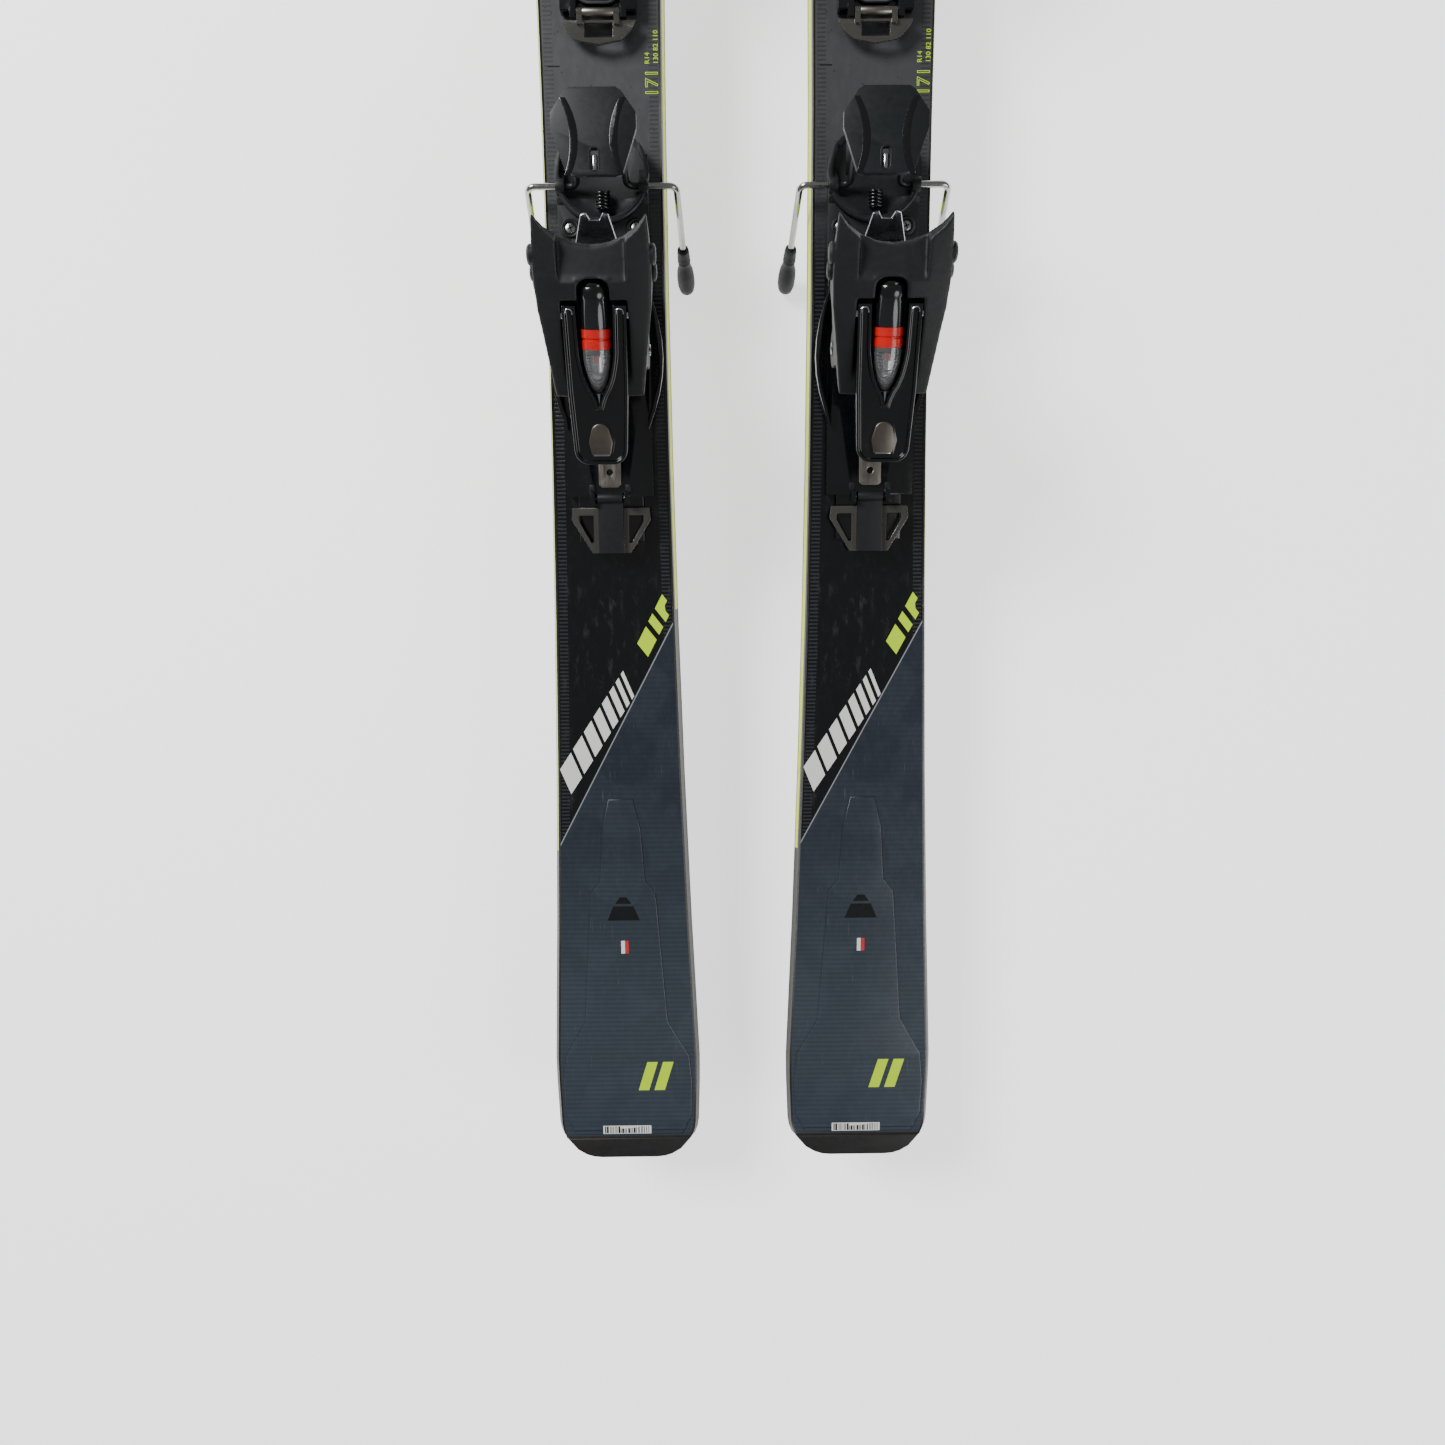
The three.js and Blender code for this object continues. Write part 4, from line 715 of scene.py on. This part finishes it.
def ski_body(ski):
    """The ski with its raised tail panel, its print, its tail guard and the two rails."""
    film = topsheet(ski)
    panel = laid(flat(relief_plan()), surface_of([film]), -0.1, RELIEF + 0.1)
    rim = [e for e in panel.edges if e.calc_length() > 1 and all(
        v.co.z > 0 for v in e.verts) and any(f.normal.z > 0.9 for f in e.link_faces) and any(
        abs(f.normal.z) < 0.3 for f in e.link_faces)]
    bmesh.ops.bevel(panel, geom=rim, offset=0.8, offset_type="OFFSET", segments=3, profile=0.5,
                    affect="EDGES", clamp_overlap=True, material=-1)
    relief = piece(panel, ski, "topsheet_tail_relief", "ski", [TOPSHEET[ski]], angle=60)
    graphics(ski, surface_of([film, relief]))
    for node, material in (("base_sheet", BASE), ("core", WOOD), ("steel_edge", EDGE),
                           ("sidewall_left", SIDEWALL[ski]), ("sidewall_right", SIDEWALL[ski])):
        painted(ski, node, material)
    piece(rounded(copied(ski, "tail_guard", 0.3), 1.2, 3), ski, "tail_guard_moulding", "ski", [GUARD],
          ["tail_guard"])
    for node in ("toe_rail", "heel_rail"):
        piece(rounded(copied(ski, node), 0.4), ski, f"{node}_moulding", "ski", [ACETAL],
              [node])


# ------------------------------------------------------------------ shared fittings


def screw(ski, name, body, x, y, z, radius=4.0, tall=2.2):
    """A pan-head screw: a turned head, with two dark bars laid over it as painted shade standing in for its
    cross-shaped hollow.
    """
    head = turned([(0, tall), (radius * 0.45, tall * 0.98), (radius * 0.8, tall * 0.72),
                   (radius, tall * 0.2), (radius, 0), (0, 0)], 28)
    moved(head, UPRIGHT, (x, y, z))
    piece(head, ski, name, body, [ZINC])
    # painted shade: two dark bars where the cross-shaped hollow of the screw head lies in shade
    bars = [moved(slab(rounded_plan(radius * 0.5, -0.45, 0.45, 0.3, 2), 0, 0.2),
                  Matrix.Rotation(math.radians(turn), 4, "Z")) for turn in (20, 110)]
    cross = moved(joined(*bars), (x, y, z + tall * 0.9))
    piece(cross, ski, f"{name}_recess", body, [DARK_INK_AND_SHADE])


# ------------------------------------------------------------------ the toe

TOE_REAR = part_box("toe_latch")[1].y
LATCH_HINGE = joint_place("toe_latch_lift")
SOLE_PLATE = part_box("toe_sole_plate")


def toe(ski):
    """The toe piece: housing, wings, sole plate with its glide strip, and release screw."""
    piece(rounded(copied(ski, "toe_housing", 0.25), 0.7), ski, "toe_housing_moulding", "toe", [ACETAL],
          ["toe_housing"])
    for _, word in SIDES:
        piece(rounded(copied(ski, f"toe_wing_{word}", 0.3), 1.0, 3), ski, f"toe_wing_{word}_moulding",
              f"toe_wing_{word}", [NYLON], [f"toe_wing_{word}"])
    plate = rounded(copied(ski, "toe_sole_plate", 0.2), 0.8, 3)
    piece(plate, ski, "toe_sole_plate_moulding", "toe_sole_plate", [SATIN_NYLON],
          ["toe_sole_plate"])
    middle, top = (SOLE_PLATE[0].y + SOLE_PLATE[1].y) / 2, SOLE_PLATE[1].z
    strip = rounded(slab(rounded_plan(15, middle - 9, middle + 12, 3), top - 0.5, top + 0.25), 0.2)
    piece(strip, ski, "toe_glide_strip", "toe_sole_plate", [GREY_INK])
    piece(rounded(copied(ski, "toe_screw", 0.1), 0.35, 3), ski, "toe_screw_steel", "toe_screw", [ZINC],
          ["toe_screw"])
    toe_window(ski)
    toe_latch(ski)


def toe_window(ski):
    """The window over the size scale: a dark plate in a bright outline, with its number."""
    deck = LATCH_HINGE.z + 1.0
    rear, front, half = TOE_REAR + 1.5, TOE_REAR + 23, 14.5
    lower = arc(half - 9, rear + 9, 9, -90, 0, 8) + arc(half - 3, front - 3, 3, 0, 90, 4)
    outline = lower + [(-px, py) for px, py in reversed(lower)]
    plate = slab(outline, deck - 0.3, deck + 0.6)
    piece(rounded(plate, 0.35), ski, "toe_window_plate", "toe", [SATIN_NYLON])
    route = [(px * 0.9, rear + (py - rear) * 0.9 + 1.0, deck + 0.62) for px, py in outline]
    piece(swept(route, 0.4, 2, ring=True), ski, "toe_window_outline", "toe", [POLISHED])
    curve = bpy.data.curves.new("number", "FONT")
    curve.body = "260"
    curve.size = 4.0
    curve.extrude = 0.03
    curve.resolution_u = 3
    number = moved(curve_mesh(curve), (1.5, rear + 3.4, deck + 0.61))
    piece(number, ski, "toe_window_number", "toe", [GREY_INK])


def toe_latch(ski):
    """The smoky loop with its two lugs, and the grey roller between them."""
    piece(rounded(copied(ski, "toe_latch", 0.15), 0.5, 3), ski, "toe_latch_loop", "toe_latch", [SMOKE],
          ["toe_latch"])
    roller = turned([(0, -9.8), (2.5, -9.8), (2.75, -9.4), (2.75, 9.4), (2.5, 9.8), (0, 9.8)], 28)
    piece(moved(roller, SIDEWAYS, LATCH_HINGE), ski, "toe_latch_roller", "toe_latch", [STRIP])


# ------------------------------------------------------------------ the brake

BRAKE_AXLE = joint_place("brake_swing")
CRANK = joint_place("brake_pedal_turn")
WIRE_RADIUS = 2.15
ARM_X = 48.0
ARM_LENGTH = 96.0
ARM_DROP = math.radians(60)
ARM_SPLAY = 4.5
WIRE_END = 83.0  # the wire ends inside the moulded tip, this far down the arm
BEND_RADIUS = 5.0
CRANK_X = 14.0
SHRINK_SLEEVE_X = 30.0
PEDAL_BOX = part_box("brake_pedal")
BASE_TOP = 24.5  # the flat upper face of the brake's base
COLLAR_CENTRE = (0.0, BRAKE_AXLE.y + 8.0, BASE_TOP)
CRANK_ROOM = 14.8  # the dish starts this far behind the collar's centre, as the crank swings down ahead
RIM_SIDE = 24  # degrees behind the collar's sides at which its raised rim ends, clear of the wire


def arm_corner(half):
    """Where the wire bends down into an arm."""
    return Vector((half * ARM_X, BRAKE_AXLE.y, BRAKE_AXLE.z))


def arm_direction(half):
    """Down an arm: back, down and a little outwards."""
    return Vector((half * ARM_SPLAY / ARM_LENGTH, -math.cos(ARM_DROP), -math.sin(ARM_DROP))).normalized()


def brake_wire(ski):
    """One wire, from arm to arm: through the base, up over the crank and back, sleeved in the base."""
    def half_route(half):
        crank = Vector((half * CRANK_X, CRANK.y, CRANK.z))
        foot = Vector((half * (CRANK_X + 2), BRAKE_AXLE.y, BRAKE_AXLE.z))
        return [arm_corner(half) + arm_direction(half) * WIRE_END, arm_corner(half), foot, crank]
    route = half_route(-1) + list(reversed(half_route(1)))
    bar = swept(bent(route, BEND_RADIUS), WIRE_RADIUS, 5)
    for side in HALVES:
        split_at(bar, (side * SHRINK_SLEEVE_X, 0, 0), (1, 0, 0))
    for face in bar.faces:
        face.material_index = int(abs(face.calc_center_median().x) < SHRINK_SLEEVE_X)
    piece(bar, ski, "brake_wire_bent", "brake", [WIRE, SATIN_NYLON], ["brake_wire"], angle=50)


def brake_tip(ski, half, word):
    """The moulded end of an arm: a ribbed neck that swells to a flattened paddle."""
    profile = [(0, 0), (3.6, 0.5), (6.3, 2.5), (7.4, 7), (7.5, 14), (6.9, 20), (5.3, 25)]
    profile += [(5.0, 29), (5.5, 30), (5.0, 31), (5.4, 33.4), (4.9, 34.4), (5.2, 37), (4.7, 40), (2.3, 40)]
    shape = closed(turned(profile, 28))
    bmesh.ops.scale(shape, vec=(0.82, 1, 1), verts=shape.verts)
    direction = -arm_direction(half)
    turn = Vector((0, 1, 0)).rotation_difference(direction).to_matrix().to_4x4()
    moved(shape, turn, arm_corner(half) - direction * ARM_LENGTH)
    piece(shape, ski, f"brake_tip_{word}_moulding", "brake", [BRAKE_RUBBER],
          [f"brake_tip_{word}"], angle=40)


def brake_pedal(ski):
    """The pedal plate with two curved gloss strips and a bright pin in its slot."""
    body = rounded(copied(ski, "brake_pedal", 0.2), 0.9, 3)
    piece(body, ski, "brake_pedal_moulding", "brake_pedal", [SATIN_NYLON], ["brake_pedal"])
    top, rear = PEDAL_BOX[1].z, PEDAL_BOX[0].y
    steps = 14
    for half, word in SIDES:
        inner = [(half * px, py) for px, py in arc(52, rear + 20, 42.5, 180 - 33, 180 + 28, steps)]
        widths = [3.6 + 1.2 * math.sin(math.pi * i / steps) for i in range(steps + 1)]
        outer = [(px + half * width, py) for (px, py), width in zip(inner, widths)]
        band = rounded(slab(inner + list(reversed(outer)), top - 0.6, top + 0.22), 0.18)
        piece(band, ski, f"brake_pedal_strip_{word}", "brake_pedal", [ACETAL])
    pin = turned([(0, -5), (1.7, -5), (1.9, -4.6), (1.9, 4.6), (1.7, 5), (0, 5)], 20)
    moved(pin, (0, rear + 6.5, top - 2.6))
    piece(pin, ski, "brake_pedal_pin", "brake_pedal", [POLISHED])
    lip = [(px, py, top - 0.15) for px, py in rounded_plan(3.1, rear + 2.2, rear + 15.8, 3.0, 6)]
    piece(swept(lip, 0.45, 3, ring=True), ski, "brake_pedal_slot_lip", "brake_pedal", [SATIN_NYLON])


def brake_base(ski):
    """The base on the rail, its dished collar, the black spring and two screws in cups."""
    piece(rounded(copied(ski, "brake_base", 0.25), 0.5), ski, "brake_base_moulding", "heel", [NYLON],
          ["brake_base"])
    dish = turned([(13, -0.9), (13, 0.2), (21, 0.5), (26, 2.2), (27.4, 3.6), (27.4, -0.9), (13, -0.9)], 44)
    moved(dish, UPRIGHT)
    split_at(dish, (0, -CRANK_ROOM, 0), (0, 1, 0), clear_outer=True)
    piece(moved(closed(dish), COLLAR_CENTRE), ski, "brake_dish", "heel", [SATIN_NYLON])
    profile = [(27.7, -0.9), (27.7, 4.9), (28.6, 5.6), (30.0, 5.6), (30.9, 4.9), (31.0, -0.9), (27.7, -0.9)]
    rim = closed(turned(profile, 40, 180 - 2 * RIM_SIDE))
    moved(rim, Matrix.Rotation(math.radians(180 + RIM_SIDE), 4, "Y"), UPRIGHT, COLLAR_CENTRE)
    piece(rim, ski, "brake_collar_rim", "heel", [SATIN_NYLON])
    spring = coil(4.0, 0.95, BRAKE_AXLE.y - 14, BRAKE_AXLE.y - 3.5, 5)
    moved(spring, (0.4, 0, BASE_TOP + 4.6))
    piece(spring, ski, "brake_spring", "heel", [ACETAL], angle=60)
    for half, word in SIDES:
        x, y = half * 21.5, BRAKE_AXLE.y - 24.5
        cup = turned([(3.9, 0), (5.9, 0), (5.9, 1.2), (5.3, 1.7), (4.6, 1.5), (3.9, 0.4), (3.9, 0)], 28)
        moved(cup, UPRIGHT, (x, y, BASE_TOP - 0.1))
        piece(cup, ski, f"brake_screw_cup_{word}", "heel", [NYLON])
        screw(ski, f"brake_screw_{word}", "heel", x, y, BASE_TOP - 0.4, 3.8, 2.0)


def brake(ski):
    """The whole brake of one ski."""
    brake_wire(ski)
    brake_pedal(ski)
    brake_base(ski)
    for half, word in SIDES:
        brake_tip(ski, half, word)


# ------------------------------------------------------------------ the heel

HEEL_AXLE = joint_place("heel_step_in")
HEEL_OPEN = math.radians(38)
BARREL_TILT = math.radians(23)
AXLE_FRAME = Matrix.Translation(HEEL_AXLE) @ Matrix.Rotation(HEEL_OPEN, 4, "X")
BARREL_FRAME = Matrix.Translation(HEEL_AXLE) @ Matrix.Rotation(HEEL_OPEN - BARREL_TILT, 4, "X")
BARREL_HEIGHT = 32.0
BARREL_AXIS = BARREL_FRAME @ Matrix.Translation((0, 0, BARREL_HEIGHT))
ARCH_HALF = 9.5  # the hood's opening over the barrel, and the round of its front corners
ARCH_FRONT = 44.0
ARCH_RADIUS = 6.0
LEVER_TOP = 38.0
LEVER_FOOT = 29.0
LEVER_REAR = -64.0
RED_REAR = 5.0
RED_FRONT = 16.0
PLUG_REAR = 33.0


def remeshed(bm, voxel, smoothing):
    """The same solid with an even skin, its edges melted round."""
    mesh = bpy.data.meshes.new("melt")
    bm.to_mesh(mesh)
    bm.free()
    holder = bpy.data.objects.new("melt", mesh)
    bpy.context.scene.collection.objects.link(holder)
    remesh = holder.modifiers.new("skin", "REMESH")
    remesh.mode = "VOXEL"
    remesh.voxel_size = voxel
    skin = bpy.data.meshes.new_from_object(holder.evaluated_get(bpy.context.evaluated_depsgraph_get()))
    melted = bmesh.new()
    melted.from_mesh(skin)
    for _ in range(smoothing):
        bmesh.ops.smooth_vert(melted, verts=melted.verts, factor=0.5, use_axis_x=True, use_axis_y=True,
                              use_axis_z=True)
    bpy.data.objects.remove(holder)
    bpy.data.meshes.remove(mesh)
    bpy.data.meshes.remove(skin)
    return melted


def hood(ski):
    """The housing over the boot's heel: crowned across, hollowed behind the lip, with melted edges."""
    fillets = []
    for half in HALVES:
        curve = arc(ARCH_HALF - ARCH_RADIUS, ARCH_FRONT - ARCH_RADIUS, ARCH_RADIUS, 0, 90, 8)
        plan = [(half * px, py) for px, py in curve + [(ARCH_HALF + 0.5, ARCH_FRONT + 0.5)]]
        fillets.append(moved(slab(plan, 31.0, 40.8), BARREL_FRAME))
    melted = remeshed(joined(copied(ski, "heel_cup", flat=False), *fillets), 0.8, 5)
    back = AXLE_FRAME.inverted()
    moved(melted, back)
    for vert in melted.verts:
        x, y, z = vert.co
        upper = min(1.0, max(0.0, (z - 6) / 14))
        sides = min(1.0, abs(x) / 36)
        ahead = min(1.0, max(0.0, (y - 30) / 50))
        vert.co.z -= upper * (3.2 * sides ** 2 + 1.6 * ahead * (1 - sides ** 2) * (1 - ahead))
    moved(melted, AXLE_FRAME)
    piece(melted, ski, "heel_hood_moulding", "heel_cup", [NYLON], ["heel_cup"], angle=80)
    lugs(ski)


def lugs(ski):
    """Two ribbed lobes low on each side of the hood."""
    for half, word in SIDES:
        for n, (y, radius) in enumerate(((66, 6.2), (54, 5.4))):
            lobe = turned([(0, 0), (radius, 0), (radius, 2.4), (radius - 1, 3.6), (radius - 2.4, 4.0),
                           (0, 4.1)], 24)
            moved(lobe, OUTWARD[half], (half * 33.6, y, 9 - n * 3), AXLE_FRAME)
            piece(lobe, ski, f"heel_hood_lobe_{word}_{n + 1}", "heel_cup", [NYLON])


def lever(ski):
    """The lever: two rails beside the barrel and a dished plate behind it, with a steel insert."""
    half, end, gap, front = 19.3, 16.5, 11.0, 29.6
    outer = [(half, front), (half - 1, -20)] + arc(end - 9, LEVER_REAR + 9, 9, 0, -90, 7)
    nose = [(gap - 0.6, 2), (9.3, -5), (7.8, -11.5), (5.4, -17.5), (3.2, -21), (1.3, -25.5), (0.5, -28.5)]
    mouth = [(-gap, front)] + [(-px, py) for px, py in nose] + list(reversed(nose)) + [(gap, front)]
    plan = outer + [(-px, py) for px, py in reversed(outer)] + mouth
    bm = slab(plan, LEVER_FOOT, LEVER_TOP - 0.2)
    top = [f for f in bm.faces if f.normal.z > 0.9]
    bmesh.ops.inset_region(bm, faces=top, thickness=1.7, depth=0, use_boundary=True, use_even_offset=True)
    top = [f for f in bm.faces if f.normal.z > 0.9 and f.calc_area() > 300]
    bmesh.ops.inset_region(bm, faces=top, thickness=0.8, depth=-1.9, use_boundary=True, use_even_offset=True)
    foot = [v for v in bm.verts if v.co.z < LEVER_FOOT + 0.1 and v.co.y > 25]
    bmesh.ops.translate(bm, vec=(0, 0, 2.6), verts=foot)
    rounded(bm, 0.55, 3, 25)
    piece(moved(bm, BARREL_FRAME), ski, "heel_lever_moulding", "heel_lever", [ACETAL],
          ["heel_lever"], angle=40)
    for side, word in SIDES:
        pin = turned([(0, 16.8), (2.5, 16.8), (2.5, 23.0), (2.2, 23.4), (0, 23.4)], 20)
        moved(pin, OUTWARD[side], (0, 24, 33.5), BARREL_FRAME)
        piece(pin, ski, f"heel_lever_pin_{word}", "heel_lever", [POLISHED])
        eye = [(side * (15.2 + 2.2 * math.cos(a)), 25.5 + 2.4 * math.sin(a), LEVER_TOP - 0.3)
               for a in [math.radians(t) for t in range(-20, 201, 20)]]
        bead = moved(swept(eye, 0.42, 3), BARREL_FRAME)
        piece(bead, ski, f"heel_lever_eye_{word}", "heel_lever", [POLISHED])
    insert_plan = arc(0, -45.0, 6.0, 25, 155, 8) + [(-7.6, -50.5), (-5.9, -58.4), (5.9, -58.4), (7.6, -50.5)]
    insert = rounded(slab(insert_plan, LEVER_TOP - 3.2, LEVER_TOP - 0.6), 0.7, 3, 25)
    piece(moved(insert, BARREL_FRAME), ski, "heel_lever_insert", "heel_lever", [SINTERED])
    middle = -49.6
    seat_plan = [(px * 1.16, middle + (py - middle) * 1.12) for px, py in insert_plan]
    seat = moved(rounded(slab(seat_plan, LEVER_TOP - 3.4, LEVER_TOP - 1.7), 0.3, 2, 25), BARREL_FRAME)
    piece(seat, ski, "heel_lever_insert_seat", "heel_lever", [ACETAL])
    edge_plan = [(-4.9, -58.9), (4.9, -58.9), (4.7, -57.7), (-4.7, -57.7)]
    edge = moved(rounded(slab(edge_plan, LEVER_TOP - 2, LEVER_TOP - 0.45), 0.25), BARREL_FRAME)
    piece(edge, ski, "heel_lever_insert_edge", "heel_lever", [POLISHED])


def barrel(ski):
    """The clear scale tube over its spring, the red setting sleeve, and the black plug with its raised rim.
    """
    outside = [(0, -21), (2.2, -20.2), (4.2, -17.5), (6.6, -11.5), (8.2, -5), (8.8, 1), (8.8, RED_REAR - 0.2)]
    outside += [(9, RED_REAR), (9, 9.6), (8.3, 10.2), (8.3, 10.8), (9, 11.4), (9, RED_FRONT)]
    outside += [(8.7, RED_FRONT + 0.2), (8.7, PLUG_REAR), (9, PLUG_REAR + 0.4), (9, 39.4), (8.6, 39.9)]
    inside = [(7.9, 39.9), (7.8, 39.4), (7.8, 1.5), (7.1, -4.4), (5.6, -10.6), (3.4, -15), (0, -17)]
    tube = turned(outside + inside, 40)
    for face in tube.faces:
        middle = face.calc_center_median()
        outer = face.normal.dot(Vector((middle.x, 0, middle.z))) > 0
        if RED_REAR - 0.3 < middle.y < RED_FRONT + 0.3 and outer:
            face.material_index = 1
        elif middle.y > RED_FRONT:
            face.material_index = 2 if middle.y < PLUG_REAR else 3
    piece(moved(tube, BARREL_AXIS), ski, "heel_barrel_tube", "heel_cup", [CLEAR, RED, DARK_SMOKE, ACETAL],
          ["heel_barrel"], angle=40)
    core = turned([(0, -14.4), (2.4, -13.6), (4.7, -10.4), (4.9, -9.2), (4.1, -8.4), (4.1, 0.2),
                   (0, 0.2)], 32)
    piece(moved(core, BARREL_AXIS), ski, "heel_barrel_core", "heel_cup", [POLISHED])
    ridge = rounded(slab([(-0.35, -29), (0.35, -29), (0.9, -21.5), (-0.9, -21.5)], -0.4, 2.0), 0.2)
    piece(moved(ridge, BARREL_AXIS), ski, "heel_barrel_ridge", "heel_cup", [POLISHED])
    ticks = []
    for n in range(7):
        place = -9.5 + n * 1.9
        reach = 8.22 + (place + 5) * (0.1 if place > -5 else 0.246)  # just proud of the tapering tube
        width = 2.4 if n % 2 else 1.4
        for half in HALVES:
            angles = [half * (0.42 + t * width / 14) for t in range(4)]
            ticks.append(swept([(reach * math.sin(a), place, reach * math.cos(a)) for a in angles], 0.14, 1))
    scale = moved(joined(*ticks), BARREL_AXIS)
    piece(scale, ski, "heel_barrel_scale", "heel_cup", [DARK_INK_AND_SHADE])
    sleeve = turned([(4.2, RED_REAR), (7.1, RED_REAR), (7.4, 5.6), (7.4, 8.6), (6.9, 9.4), (6.2, 10),
                     (6.2, 11), (6.9, 11.6), (7.4, 12.4), (7.4, 15.4), (7.1, RED_FRONT), (4.2, RED_FRONT),
                     (4.2, RED_REAR)], 36)
    piece(moved(sleeve, BARREL_AXIS), ski, "heel_indicator_sleeve", "heel_indicator", [RED],
          ["heel_indicator"])
    pointer = rounded(slab([(-1.5, -3), (1.5, -3), (1.5, 5.4), (-1.5, 5.4)], 4.4, 5.6), 0.3)
    moved(pointer, BARREL_AXIS)
    piece(pointer, ski, "heel_indicator_pointer", "heel_indicator", [RED])
    spring = moved(coil(5.2, 0.85, 21.6, 31.0, 4), BARREL_AXIS)
    piece(spring, ski, "heel_release_spring", "heel_screw", [DARK_INK_AND_SHADE], angle=60)
    plug = turned([(0, 31.6), (7.2, 31.6), (7.3, 32.2), (7.3, 41), (6.6, 42), (5.4, 42), (5.0, 41.2),
                   (0, 41.2)], 36)
    piece(moved(plug, BARREL_AXIS), ski, "heel_screw_plug", "heel_screw", [ACETAL],
          ["heel_screw"])
    spindle = turned([(0, 0.5), (2.4, 0.5), (2.4, 31.5), (0, 31.5)], 20)
    piece(moved(spindle, BARREL_AXIS), ski, "heel_screw_spindle", "heel_screw", [ZINC])


def carriage(ski):
    """The heel's carriage with its axle, its pressure leaf, and the latch between two ears."""
    piece(rounded(copied(ski, "heel_carriage", 0.25), 0.6), ski, "heel_carriage_moulding", "heel", [ACETAL],
          ["heel_carriage"])
    axle = turned([(0, -31), (3.2, -31), (3.7, -30.4), (3.7, 30.4), (3.2, 31), (0, 31)], 28)
    moved(axle, SIDEWAYS, HEEL_AXLE)
    piece(axle, ski, "heel_axle_pin", "heel", [WIRE], ["heel_axle"])
    piece(rounded(copied(ski, "heel_pressure_tab", 0.1), 0.35, 3), ski, "heel_pressure_leaf", "heel", [STRIP],
          ["heel_pressure_tab"])
    latch_front = part_box("heel_latch")[1].y
    for half, word in SIDES:
        ear = slab(rounded_plan(1.7, latch_front + 0.8, latch_front + 5.8, 0.8, 3), 21, 26.5)
        moved(rounded(ear, 0.35), (half * 12.2, 0, 0))
        piece(ear, ski, f"heel_latch_ear_{word}", "heel", [SATIN_NYLON])
    latch = rounded(copied(ski, "heel_latch", 0.2), 0.5, 3)
    for face in latch.faces:
        face.material_index = 0 if abs(face.calc_center_median().x) < 8.6 else 1
    piece(latch, ski, "heel_latch_moulding", "heel_latch", [NYLON, SMOKE], ["heel_latch"])


def heel(ski):
    """The whole heel piece of one ski."""
    carriage(ski)
    hood(ski)
    lever(ski)
    barrel(ski)
    tongue = rounded(copied(ski, "heel_tongue", 0.2), 0.5, 3)
    piece(tongue, ski, "heel_tongue_steel", "heel_cup", [POLISHED], ["heel_tongue"])


for ski in SKIS:
    ski_body(ski)
    toe(ski)
    brake(ski)
    heel(ski)

# ------------------------------------------------------------------ stage, light and camera


FLOOR_REACH = 40.0  # metres to each side, so that no edge of it shows from low down


def floor():
    """A pale studio floor of painted board."""
    f = finish("studio_floor_white", "#ffffff", 0.9, Emission_Strength=1.3, Emission_Color=(1, 1, 1, 1))
    mesh = bpy.data.meshes.new("studio_floor")
    bm = bmesh.new()
    bmesh.ops.create_grid(bm, x_segments=1, y_segments=1, size=FLOOR_REACH)
    bm.to_mesh(mesh)
    bm.free()
    mesh.materials.append(f.material)
    made = bpy.data.objects.new("studio_floor", mesh)
    bpy.context.scene.collection.objects.link(made)


def softbox(name, place, aim, size, power):
    """A round soft light that points at a place."""
    light = bpy.data.lights.new(name, "AREA")
    light.shape = "DISK"
    light.size = size
    light.energy = power
    lamp = bpy.data.objects.new(name, light)
    lamp.location = place
    lamp.rotation_euler = (Vector(aim) - Vector(place)).to_track_quat("-Z", "Y").to_euler()
    bpy.context.scene.collection.objects.link(lamp)


floor()
softbox("key_softbox", (-1.9, 1.2, 2.0), (0, -0.35, 0), 1.3, 120)
softbox("fill_softbox", (2.0, -1.6, 1.7), (0, -0.35, 0), 1.8, 32)

world = bpy.data.worlds.new("studio")
world.use_nodes = True
world.node_tree.nodes["Background"].inputs["Color"].default_value = linear("#ffffff")
world.node_tree.nodes["Background"].inputs["Strength"].default_value = 0.24
bpy.context.scene.world = world

# A camera above the tail half of the pair, looking down and slightly forward.
camera = bpy.data.objects.new("camera", bpy.data.cameras.new("camera"))
camera.data.sensor_width = 36.0
camera.data.lens = 27.45
CAMERA_OVER_BASE = Vector((-19.9, -372.9, 789.3)) * MM
lift = SKI_PLACE["left"].translation.z
turn = (Matrix.Rotation(math.radians(-10.291), 4, "X") @ Matrix.Rotation(math.radians(-0.477), 4, "Y")
        @ Matrix.Rotation(math.radians(-0.62), 4, "Z"))
camera.matrix_world = Matrix.Translation(CAMERA_OVER_BASE + Vector((0, 0, lift))) @ turn
bpy.context.scene.collection.objects.link(camera)
bpy.context.scene.camera = camera
